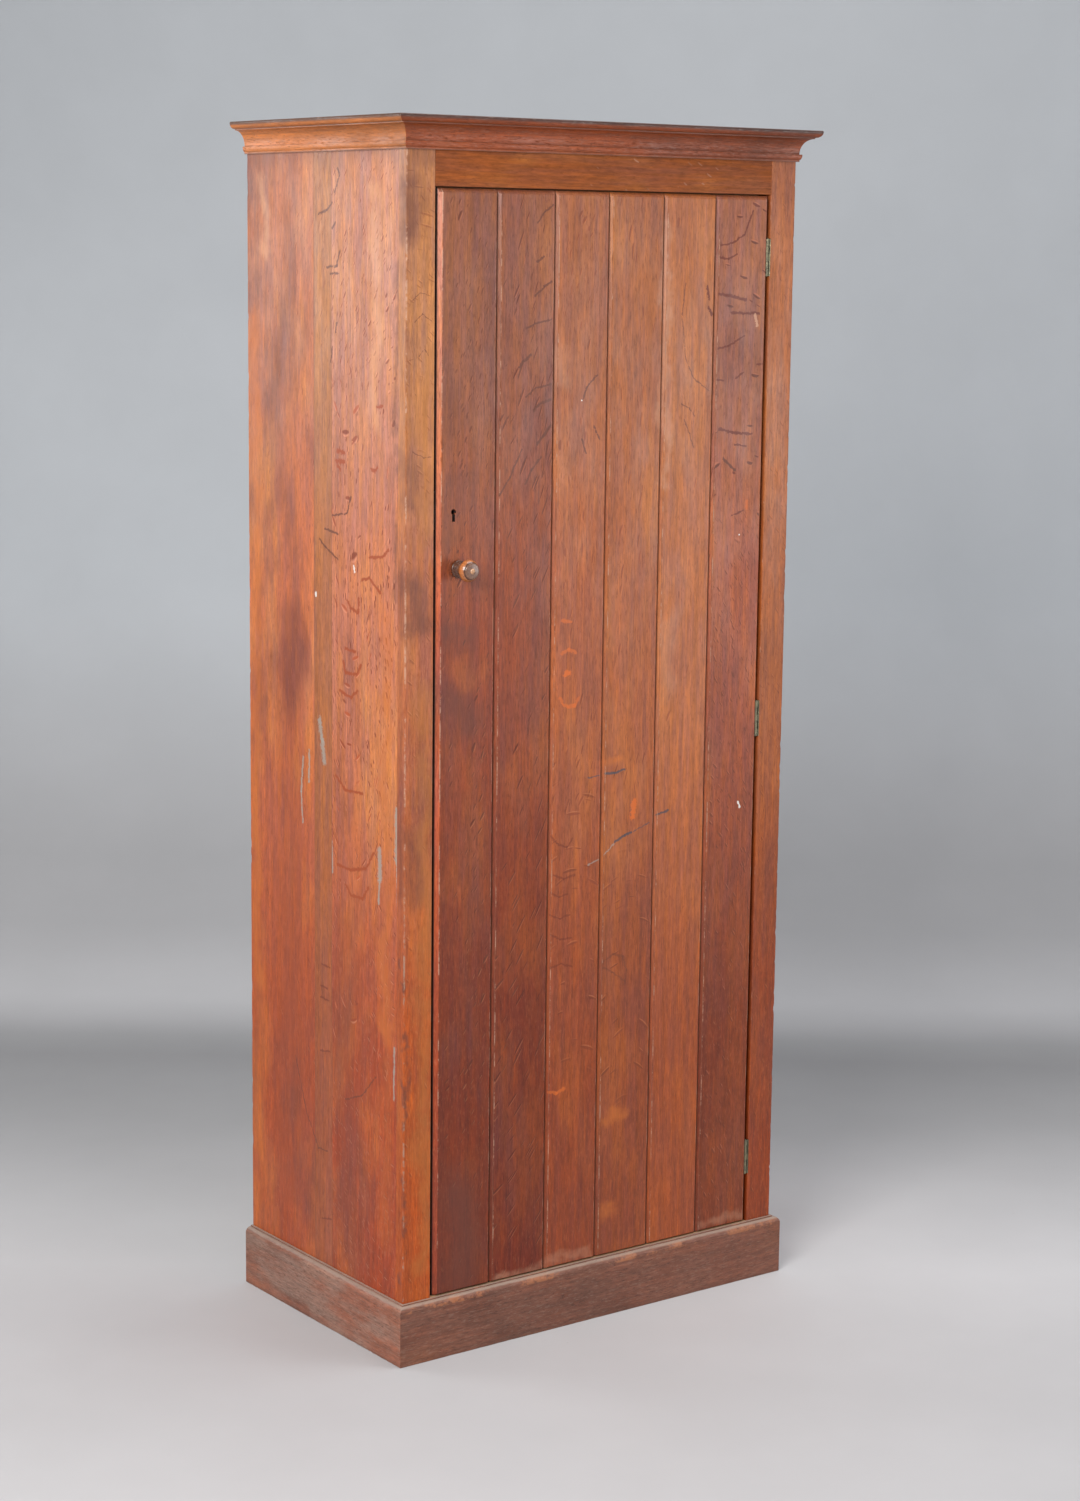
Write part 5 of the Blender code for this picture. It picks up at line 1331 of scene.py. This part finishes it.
def mouldings(word, outline, corner, front_finish, side_finish, ending=""):
    """Three lengths of a moulding round the carcass.

    A point with reach d runs along a straight line d outside the carcass and turns half
    of each front corner on an arc of the corner's radius, up to the mitre.
    """
    turns = np.linspace(1 - MITRE_TRIM_SHARE, 0, 5)[:-1] * math.pi / 4
    pitch = MOULDING_PITCH

    def pulled_in(u, wear, s, seed):
        """Reach of a point after nicks have bitten into a worn arris."""
        return u - wear * nicks(s, MOULDING_NICK_SPAN, *MOULDING_NICKS, seed)

    def front(u, v, wear, s):
        """Station s is the way across; past either end of the straight run it is an angle of the corner."""
        d = pulled_in(u, wear, s, 80)
        turn = np.interp(np.abs(s), (CARCASS_HALF, CARCASS_HALF + 1), (0, 1))
        end = CARCASS_HALF + d - corner
        x = np.clip(s / CARCASS_HALF, -1, 1) * end + np.sign(s) * corner * np.sin(turn)
        return x, CARCASS_FRONT - d + corner * (1 - np.cos(turn)), v

    straight = even(-CARCASS_HALF, CARCASS_HALF, pitch)
    stations = np.concatenate((-CARCASS_HALF - turns, straight, (CARCASS_HALF + turns)[::-1]))
    item = carried(word + "_front_shaped", outline, stations, front)
    fit(item, "carcass", "oak_" + word, front_finish, word + "_front" + ending)
    for side, label in SIDE_WORDS.items():

        def back(u, v, wear, s, side=side):
            """Station s is the way back from the corner, and below zero an angle of the corner."""
            d = pulled_in(u, wear, s, 83 + side)
            turn = np.maximum(-s, 0)
            start = CARCASS_FRONT - d + corner
            x = CARCASS_HALF + d - corner * (1 - np.cos(turn))
            return side * x, start - corner * np.sin(turn) + np.clip(s, 0, 1) * (CARCASS_BACK - start), v

        run = even(0, 1, pitch / (CARCASS_BACK - CARCASS_FRONT))
        item = carried("%s_%s_shaped" % (word, label), outline, np.concatenate((-turns, run)), back)
        fit(item, "carcass", "oak_" + word, side_finish, "%s_%s%s" % (word, label, ending))


def shape_knob(material):
    """Turned knob on its axis."""
    across, _, height = centre_of("door_knob")
    foot = (across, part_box("door_knob")[1].y, height)
    item = turned("door_knob_shaped", [(0.0, 0.0), *KNOB_RINGS], foot, (0, -1, 0), KNOB_SEGMENTS)
    smooth = item.modifiers.new("smooth", "SUBSURF")
    smooth.levels = smooth.render_levels = 1
    fit(item, "door", "knob_wood", material, "door_knob")


def screw_heads(name, places, radius, body, material, seed, proud=SCREW_PROUD):
    """Slotted screw heads in one piece, on a body and in a metal's finish.

    A head is a disc of chords: u runs across the slot and v along each chord, and the
    height falls at the rim and drops to the slot's floor between two values of u.
    """
    u = np.array((-1, -0.9, -0.6, -HALF_SLOT_SHARE, -HALF_SLOT_SHARE))
    u = np.concatenate((u, -u[::-1]))
    in_slot = np.repeat((0.0, 1.0, 0.0), (4, 2, 4))
    chord = np.sqrt(np.clip(1 - u ** 2, 0.02, 1))
    flat_u = np.repeat(u[:, None], 7, 1)
    flat_v = chord[:, None] * np.linspace(-1, 1, 7)
    rim = np.hypot(flat_u, flat_v) > 0.95
    height = proud - RIM_DROP * rim - SLOT_DEPTH * in_slot[:, None]
    pick = np.random.default_rng(seed)
    work = bmesh.new()
    for point, normal in places:
        facing = Vector(normal)
        spin = Matrix.Rotation(pick.uniform(0, math.pi), 3, facing)
        turn = spin @ facing.to_track_quat("Z", "Y").to_matrix()
        local = np.stack((flat_u * radius, flat_v * radius, height), axis=-1) @ np.array(turn).T
        mesh = grid_mesh(name, np.array(point) + local, closed=False)
        work.from_mesh(mesh)
        bpy.data.meshes.remove(mesh)
    joined = bpy.data.meshes.new(name)
    work.to_mesh(joined)
    work.free()
    fit(piece_from(name, joined), body, material.name.split("_")[1], material)


def along_box(node, shares):
    """Heights at shares of a CAD piece's own height."""
    low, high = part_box(node)
    return [low.z + (high.z - low.z) * share for share in shares]


def fasten(brass, steel):
    """Screws of the hinges, ledges and lock."""
    door_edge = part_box("door_plank_%d" % PLANK_COUNT)[1].x
    edges = {"frame": (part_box("right_stile")[0].x, -1), "door": (door_edge, 1)}
    for (leaf, (x, outward)), body, seed in zip(edges.items(), ("carcass", "door"), (3, 4)):
        screws = []
        for node in ["hinge_%s_%s_leaf" % (word, leaf) for word in LEVEL_WORDS]:
            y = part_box(node)[1].y - LEAF_SCREW_INSET
            screws += [((x, y, z), (outward, 0, 0)) for z in along_box(node, LEAF_SCREW_SHARES)]
        screw_heads("hinge_%s_screws" % leaf, screws, HINGE_SCREW, body, brass, seed)
    screws = []
    for node in ["door_ledge_" + word for word in LEVEL_WORDS]:
        low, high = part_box(node)
        for number in range(1, PLANK_COUNT + 1):
            plank_low, plank_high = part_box("door_plank_%d" % number)
            x = (max(plank_low.x, low.x) + min(plank_high.x, high.x)) / 2
            screws += [((x, high.y, z), (0, 1, 0)) for z in along_box(node, LEDGE_SCREW_SHARES)]
    screw_heads("ledge_screws", screws, LEDGE_SCREW, "door", steel, 5)
    low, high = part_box("lock_case")
    levels = (low.z + LOCK_SCREW_INSET, high.z - LOCK_SCREW_INSET)
    sides = (low.x + LOCK_SCREW_NEAR, high.x - LOCK_SCREW_FAR)
    screws = [((x, high.y, z), (0, 1, 0)) for x in sides for z in levels]
    y = (low.y + high.y) / 2 - SELVEDGE_SCREW_FORWARD
    levels = (low.z + SELVEDGE_SCREW_INSET, high.z - SELVEDGE_SCREW_INSET)
    screws += [((low.x, y, z), (-1, 0, 0)) for z in levels]
    screw_heads("lock_screws", screws, LOCK_SCREW, "door", steel, 6)
    low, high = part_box("strike_plate")
    levels = (low.z + STRIKE_SCREW_INSET, high.z - STRIKE_SCREW_INSET)
    screws = [((high.x, (low.y + high.y) / 2, z), (1, 0, 0)) for z in levels]
    screw_heads("strike_screws", screws, LOCK_SCREW, "carcass", brass, 7)


def nail_back(material, steel):
    """Back boards with small punched holes, and a nail head just under the surface in each."""
    nails = []
    rows = [NAIL_LOWEST] + [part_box(node)[0].z + NAIL_RISE for node in ("top_board", *SHELVES)]
    profile = [(-HOLE_OVERRUN, 0), (-HOLE_OVERRUN, HOLE_RADIUS), (HOLE_DEPTH, HOLE_RADIUS), (HOLE_DEPTH, 0)]
    for number in range(1, BACK_COUNT + 1):
        node = "back_board_%d" % number
        item = copied(node)
        low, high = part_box(node)
        places = [(low.x + (high.x - low.x) * share, z) for share in NAIL_SHARES for z in rows]
        tools = [turned("hole", profile, (x, high.y, z), (0, -1, 0), 16) for x, z in places]
        nails += [((x, high.y - NAIL_SUNK, z), (0, 1, 0)) for x, z in places]
        cut(item, [joined(tools)])
        fit(item, "carcass", "pine_back", material, node)
    screw_heads("back_nails", nails, NAIL_RADIUS, "carcass", steel, 8, proud=0.0)


def joined(items):
    """One object of several."""
    work = bmesh.new()
    for item in items:
        work.from_mesh(item.data)
    for item in items[1:]:
        bpy.data.objects.remove(item)
    work.to_mesh(items[0].data)
    work.free()
    return items[0]


def finish_rest(inside, inside_cross, bearer_wood, brass, steel):
    """Round the arrises of the plainer pieces a little, and give them and the metal their finishes."""
    for node in (*SHELVES, "floor_board", "top_board", "bottom_rail", "door_stop_top"):
        softened(node, "carcass", "oak_frame" if node == "bottom_rail" else "oak_inner", inside_cross)
    softened("door_stop_side", "carcass", "oak_inner", inside)
    for number in range(1, len(SHELVES) + 1):
        for hand in SIDE_WORDS.values():
            softened("shelf_bearer_%s_%d" % (hand, number), "carcass", "oak_inner", bearer_wood)
    for word in LEVEL_WORDS:
        softened("door_ledge_" + word, "door", "oak_inner", inside_cross)
        for part, body in (("frame_leaf", "carcass"), ("door_leaf", "door"), ("pin", "carcass")):
            softened("hinge_%s_%s" % (word, part), body, "brass", brass, METAL_ARRIS)
    softened("strike_plate", "carcass", "brass", brass, METAL_ARRIS)
    softened("lock_bolt", "lock_bolt", "brass", brass, METAL_ARRIS)
    for node in ("lock_case", "lock_key_pin", "knob_screw"):
        softened(node, "door", "steel", steel, METAL_ARRIS)


# Studio


def set_camera():
    """Camera where the photograph was taken from: eye height, front left."""
    yaw, pitch, roll = VIEW_YAW, VIEW_PITCH, VIEW_ROLL
    ahead = Vector((math.sin(yaw) * math.cos(pitch), math.cos(yaw) * math.cos(pitch), -math.sin(pitch)))
    level = Vector((math.cos(yaw), -math.sin(yaw), 0.0))
    up = level.cross(ahead)
    right = level * math.cos(roll) + up * math.sin(roll)
    top = up * math.cos(roll) - level * math.sin(roll)
    camera = bpy.data.cameras.new("camera")
    camera.sensor_width = SENSOR_WIDTH
    camera.lens = LENS
    camera.clip_end = VIEW_RANGE
    item = bpy.data.objects.new("camera", camera)
    turn = Matrix((right, top, -ahead)).transposed()
    item.matrix_world = Matrix.Translation(Vector(CAMERA_PLACE)) @ turn.to_4x4()
    bpy.context.scene.collection.objects.link(item)
    bpy.context.scene.camera = item


def backdrop_grid():
    """Points and paleness of a floor that sweeps up all round into an upright wall.

    A profile of distance and height, flat, a quarter of an arc and then upright, is
    carried round a square with round corners that faces the camera: the distance times
    (|cos|^n + |sin|^n)^(-1/n). Its paleness changes with the run away from the camera:
    the place ahead, plus how much the profile's length is more than its distance.
    """
    disc = np.linspace(0, FLOOR_FLAT, 31)[:, None] * (1, 0)
    curve = arc((FLOOR_FLAT, FLOOR_SWEEP), (FLOOR_SWEEP, FLOOR_SWEEP), -90, 0, 64)[1:]
    wall = [(FLOOR_FLAT + FLOOR_SWEEP, z) for z in np.linspace(FLOOR_SWEEP, WALL_TOP, 9)[1:]]
    profile = np.vstack((disc, curve, wall))
    run = np.concatenate(((0,), np.cumsum(np.hypot(*np.diff(profile, axis=0).T))))
    angles = np.linspace(0, 2 * np.pi, 192, endpoint=False)
    powers = np.abs(np.cos(angles)) ** SQUARE_POWER + np.abs(np.sin(angles)) ** SQUARE_POWER
    radius = profile[:, :1] * powers ** (-1 / SQUARE_POWER)
    pale = np.interp(radius * np.sin(angles) + (run - profile[:, 0])[:, None], *zip(*FLOOR_PAINTED_SHADING))
    around = angles - VIEW_YAW
    places = np.broadcast_arrays(radius * np.cos(around), radius * np.sin(around), profile[:, 1:])
    return np.stack(places, axis=-1), pale


def make_backdrop():
    """Pale floor and wall, seen only from their inner side. Their weight, the one that the wood's arrises
    use, is their paleness: painted light and shade in bands.
    """
    grid, pale = backdrop_grid()
    mesh = grid_mesh("studio_floor", grid, wear=pale, open_ends=True)
    work = bmesh.new()
    work.from_mesh(mesh)
    bmesh.ops.remove_doubles(work, verts=work.verts, dist=MERGE_DISTANCE)
    inside = Vector((0, 0, 2 * FLOOR_SWEEP))
    outward = [face for face in work.faces if face.normal.dot(inside - face.calc_center_median()) < 0]
    bmesh.ops.reverse_faces(work, faces=outward)
    work.to_mesh(mesh)
    work.free()
    mesh.shade_smooth()
    item = bpy.data.objects.new("studio_floor", mesh)
    bpy.context.scene.collection.objects.link(item)
    item.visible_shadow = False
    mesh.materials.append(backdrop_paint())


def backdrop_paint():
    """Plain pale paint, a little scuffed, that is clear from behind."""
    material, bench, shader, place = new_material("studio_floor")
    pale = bench.weight("wear")
    paint = bench.blend(place.axes()[2].span(0.05, 0.9), WARM_PAINT, COOL_PAINT)
    # Painted light and shade: the paleness weight darkens the paint in bands.
    tone = bench.blend(pale, (0.0, 0.0, 0.0), paint)
    tone = tone.times(place.noise(4.0, 0.6, 2.2), 0.97, 1.03)
    scuff = bench.group("Specks", vector=place, scale=9.0, chance=0.12, size=0.03).specks
    tone = tone.blend(scuff * 0.35, PAINT_SCUFF)
    bench.feed(shader, {"Base Color": tone, "Roughness": pale.span(0.2, 0.8, 0.6, 0.7)})
    behind = bench.put("NewGeometry", {}, "Backfacing")
    clear = bench.put("BsdfTransparent", {})
    mixed = bench.put("MixShader", {0: behind, 1: Value(bench, shader.outputs[0]), 2: clear})
    bench.feed(bench.tree.nodes["Material Output"], {"Surface": mixed})
    return material


def soft_light(name, place, target, size, power, tone=(1.0, 1.0, 1.0)):
    """Rectangular soft light that faces a point and isn't seen itself."""
    light = bpy.data.lights.new(name, "AREA")
    light.shape = "RECTANGLE"
    light.size, light.size_y = size
    light.energy = power
    light.color = tone
    item = bpy.data.objects.new(name, light)
    item.location = place
    item.rotation_euler = (Vector(target) - Vector(place)).to_track_quat("-Z", "Y").to_euler()
    item.visible_camera = False
    bpy.context.scene.collection.objects.link(item)


def light_studio():
    """Key from the front left, a soft box behind left, one front right that the faces mirror, and a top."""
    soft_light("key", (-2.3, -1.6, 2.3), (-0.2, 0.0, 0.8), (1.3, 1.3), 80, (1.0, 0.98, 0.95))
    soft_light("left_back", (-1.9, 2.0, 1.8), (-0.2, 0.0, 1.4), (1.2, 1.2), 20)
    soft_light("front_right", (1.8, -2.2, 1.25), (0.0, 0.0, 1.4), (1.0, 0.9), 16)
    soft_light("top", (0.8, -0.6, 3.9), (0.2, -0.2, 0.0), (2.2, 2.2), 58)
    world = bpy.data.worlds.new("studio")
    world.use_nodes = True
    sky = world.node_tree.nodes["Background"].inputs
    sky["Color"].default_value = SKY
    sky["Strength"].default_value = SKY_STRENGTH
    bpy.context.scene.world = world
    bpy.context.scene.view_settings.view_transform = "Standard"


# Boards and their marks


def on_door(x, z):
    """Place on the door's face."""
    return (x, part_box("door_plank_1")[0].y, z)


def on_stile(x, z):
    """Place on the face frame."""
    return (x, CARCASS_FRONT, z)


def on_side(y, z):
    """Place on the left side's face."""
    return (-CARCASS_HALF, y, z)


def traced(traces, spot):
    """Marks along the lines of each trace, whose places spot puts on a face."""
    marks = []
    for width, tone, strength, soft, lines in traces:
        for line in lines:
            places = [spot(u / 1000, v / 1000) for u, v in line]
            marks += [Mark(*ends, width, tone, strength, soft) for ends in zip(places, places[1:])]
    return marks


def door_marks():
    """Scratches, flecks and smudges of the door, a dark ring round its knob, and painted shade in its
    keyhole.
    """
    marks = traced(DOOR_TRACES, on_door)
    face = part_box("door_knob")[1].y
    across, _, level = centre_of("door_knob")
    marks.append(Mark((across, face, level), (across, face, level - 0.002), 0.0200, BLACK_DIRT_AND_SHADE, 0.55))
    across, _, level = centre_of("lock_key_pin")
    # Painted shade inside the keyhole.
    for *ends, width in KEYHOLE_SHADE:
        start, end = [(across, face + depth, level - drop) for depth, drop in ends]
        marks.append(Mark(start, end, width, BLACK_DIRT_AND_SHADE, 1.0))
    return marks


def marks_across(marks, axis, low, high):
    """The marks that touch a board between two places on an axis."""
    return tuple(mark for mark in marks if min(mark.start[axis], mark.end[axis]) < high
                 and max(mark.start[axis], mark.end[axis]) > low)


def plank_woods():
    """Tones and flecks of the door's planks, from the lock side to the hinges."""
    upright = Fleck(turn=3.0, bend=0.025)
    relief = Fleck(
        turn=3.0, bend=0.010, drift=0.020, reach=0.024, thickness=0.0016, density=0.28, low=0.8, tone=DARK_RED
    )
    ripple = Fleck(0.0, 1.2, -1.0, 0.050, 0.012, 0.040, 0.0016, 0.35, tone=DARK_RED, strength=0.60)
    return (
        Board(
            (0.251, 0.083, 0.039), (0.238, 0.048, 0.019), (0.169, 0.027, 0.009), 1.3, stain=0.75, warm=0.15,
            flecks=(
                upright._replace(centre=-0.45, density=0.34, strength=0.60),
                upright._replace(centre=-0.40, reach=0.024, thickness=0.0018, density=0.12),
            ),
        ),
        Board(
            (0.240, 0.073, 0.035), (0.248, 0.050, 0.017), (0.154, 0.020, 0.006), 2.7, stain=0.50, warm=0.15,
            flecks=(
                upright._replace(centre=-0.33, reach=0.042, thickness=0.0014, density=0.34, strength=0.75),
                Fleck(-0.28, 0.9, 2.6, 0.06, reach=0.036, thickness=0.0018, density=0.20, low=1.1),
            ),
        ),
        Board(
            (0.314, 0.098, 0.039), (0.368, 0.095, 0.032), (0.259, 0.049, 0.015), 3.1, stain=0.25, warm=0.25,
            flecks=(
                relief._replace(centre=-0.30, curve=0.4, strength=0.6),
                ripple._replace(centre=-0.048, low=0.42, high=0.85),
            ),
        ),
        Board(
            (0.321, 0.098, 0.034), (0.360, 0.097, 0.032), (0.240, 0.052, 0.019), 4.9, stain=0.25, warm=0.25,
            flecks=(
                relief._replace(centre=-0.25, curve=0.35, strength=0.6, reach=0.036),
                ripple._replace(centre=0.050, low=0.35, high=0.72, strength=0.55),
            ),
        ),
        Board(
            (0.365, 0.116, 0.041), (0.418, 0.129, 0.048), (0.307, 0.067, 0.021), 5.5, stain=0.15, warm=0.20,
            flecks=(relief._replace(centre=-0.10, curve=0.4, density=0.10, low=0.9, strength=0.5),),
        ),
        Board(
            (0.301, 0.097, 0.050), (0.340, 0.082, 0.035), (0.181, 0.032, 0.010), 6.2, stain=0.45, warm=0.15,
            flecks=(
                Fleck(
                    0.19, 0.25, 0.0, 0.050, 0.012, 0.026, 0.0018, 0.16, low=1.2, strength=0.85, tone=DEEP_RED
                ),
                Fleck(0.05, 0.5, -1.4, 0.030, density=0.45, high=1.25, strength=0.55),
            ),
        ),
    )


def door_boards():
    """Boards of the door's planks with their marks, and again lighter, as painted light, for their chamfers
    that face the front left.
    """
    marks = door_marks()
    boards = {}
    for number, wood in enumerate(plank_woods(), 1):
        node = "door_plank_%d" % number
        low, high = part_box(node)
        # The first plank's chamfer is painted much lighter, as if lit, and its dirt colour is black for
        # painted shade in the lock-side gap; the joints' chamfers are painted a little lighter.
        dirt, painted_lightening = (BLACK_DIRT_AND_SHADE, CHAMFER_PAINTED_LIGHT) if number == 1 else (OLD_DIRT_AND_SHADE, JOINT_PAINTED_LIGHT)
        wood = wood._replace(marks=marks_across(marks, 0, low.x, high.x), wear=PLANK_WEAR_AND_HIGHLIGHT, dirt=dirt)
        boards[node] = wood
        tones = {label: shade(getattr(wood, label), painted_lightening) for label in ("tone", "middle", "foot")}
        boards[node + "_rubbed"] = wood._replace(**tones)
    return boards


def frame_boards():
    """Tones and flecks of the stiles and the top rail."""
    arched = Fleck(-0.345, 1.5, 0.0, 0.040, 0.008, 0.036, 0.0010, 0.22, low=1.35, strength=0.45)
    sparse = Fleck(0.10, 0.4, -1.4, 0.030, density=0.20, strength=0.4)
    level = Fleck(1.5, 0.4, 3.0, 0.02, density=0.15, low=-0.25, high=0.05, tone=WORN_EDGE_AND_HIGHLIGHT, strength=0.4)
    return {
        "left_stile": Board(
            (0.406, 0.163, 0.064), (0.360, 0.104, 0.047), (0.383, 0.067, 0.008), 7.4, stain=0.75, warm=0.45,
            wear=0.6, broken=0.6, flecks=(arched, sparse._replace(centre=-0.55)),
            marks=traced(STILE_TRACES, on_stile),
        ),
        "right_stile": Board(
            (0.376, 0.111, 0.033), (0.348, 0.095, 0.026), (0.263, 0.043, 0.008), 8.8, stain=0.40, warm=0.15,
            wear=0.5, flecks=(sparse,),
        ),
        "top_rail": Board(
            (0.244, 0.067, 0.019), (0.254, 0.065, 0.018), (0.251, 0.064, 0.018), 9.6, ALONG_X, stain=0.3,
            warm=0.3, shine=0.12, flecks=(level,),
        ),
    }


def side_boards():
    """Tones, flecks and marks of the boards of both sides, from the front to the back."""
    dashes = Fleck(-0.32, 0.45, 1.2, 0.15, 0.016, 0.016, 0.0015, 0.50, tone=DARK_RED, strength=0.85)
    long_dashes = dashes._replace(density=0.15, reach=0.030, thickness=0.0012, low=1.1)
    cups = Fleck(-0.052, 2.5, 3.0, 0.030, 0.014, 0.030, 0.0018, 0.26, 0.42, 0.40, 1.45, ORANGE_RED, 0.85)
    woods = (
        Board(
            (0.422, 0.161, 0.089), (0.480, 0.154, 0.075), (0.333, 0.048, 0.010), 10.3, FACING_SIDE,
            (dashes, cups), stain=0.50, warm=0.55,
        ),
        Board(
            (0.391, 0.151, 0.057), (0.370, 0.122, 0.047), (0.303, 0.073, 0.029), 11.1, FACING_SIDE,
            (long_dashes,), stain=0.25, warm=0.10,
        ),
        Board(
            (0.418, 0.127, 0.049), (0.491, 0.128, 0.052), (0.346, 0.061, 0.016), 12.9, FACING_SIDE,
            (dashes._replace(density=0.12),), stain=0.80, warm=0.55, wear=0.5,
        ),
    )
    marks = traced(SIDE_TRACES, on_side)
    low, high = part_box("left_side_panel")
    edges = (low.y, *SIDE_JOINTS, high.y)
    boards = {}
    for number, (wood, near, far) in enumerate(zip(woods, edges, edges[1:]), 1):
        marked = wood._replace(marks=marks_across(marks, 1, near, far), specks=SIDE_SPECKS)
        boards["left_side_panel_%d" % number] = marked
        boards["right_side_panel_%d" % number] = wood._replace(seed=wood.seed + 20)
    return boards


# The whole cupboard


def dress_frame_and_door(board_of, inside):
    """Planks, face frame and sides, board by board."""
    shape_planks(board_of, inside, bare_wood("grime_oak", BLACK_DIRT_AND_SHADE, 24.0, dust=0.02))
    for side, word in SIDE_WORDS.items():
        shape_stile(side, board_of[word + "_stile"], inside)
    shape_rail(board_of["top_rail"], inside)
    for side in SIDE_WORDS:
        shape_side(side, board_of, inside)


def dress_mouldings():
    """Cornice, sooty on top, and dusty plinth."""
    cornice = moulded_oak("cornice_oak", CORNICE_TONE, 12.1, ALONG_X, 0.35, 0.2, soot=0.85)
    cornice_side = moulded_oak("cornice_side_oak", CORNICE_SIDE_TONE, 13.4, ALONG_Y, 0.35, 0.2, soot=0.85)
    mouldings("cornice", cornice_outline(), CORNICE_CORNER, cornice, cornice_side)
    plinth = moulded_oak(
        "plinth_oak", PLINTH_TONE, 14.2, ALONG_X, 0.6, 0.75, PLINTH_EDGE, scuff=0.18, haze=0.06
    )
    plinth_side = moulded_oak(
        "plinth_side_oak", PLINTH_SIDE_TONE, 15.6, ALONG_Y, 0.4, 0.75, scuff=0.25, haze=0.40
    )
    mouldings("plinth", plinth_outline(), PLINTH_CORNER, plinth, plinth_side, ending="_board")


def dress():
    """Finish every piece."""
    make_grain_group()
    make_fleck_group()
    make_polish_group()
    make_wear_group()
    make_speck_group()
    make_stroke_group()
    boards = {**door_boards(), **frame_boards(), **side_boards()}
    board_of = {node: oak(node + "_oak", board) for node, board in boards.items()}
    inside = bare_wood("inside_oak", INSIDE_TONE, 20.0)
    inside_cross = bare_wood("inside_cross_oak", INSIDE_TONE, 21.0, turn=ALONG_X)
    bearer_wood = bare_wood("bearer_oak", INSIDE_TONE, 22.0, turn=ALONG_Y)
    back_wood = bare_wood("back_pine", BACK_TONE, 23.0, rings=0.016, dust=0.5)
    brass = old_metal("old_brass", *OLD_BRASS)
    steel = old_metal("old_steel", *OLD_STEEL)
    dress_frame_and_door(board_of, inside)
    dress_mouldings()
    shape_knob(knob_wood())
    fasten(brass, steel)
    nail_back(back_wood, steel)
    finish_rest(inside, inside_cross, bearer_wood, brass, steel)


dress()
set_camera()
make_backdrop()
light_studio()
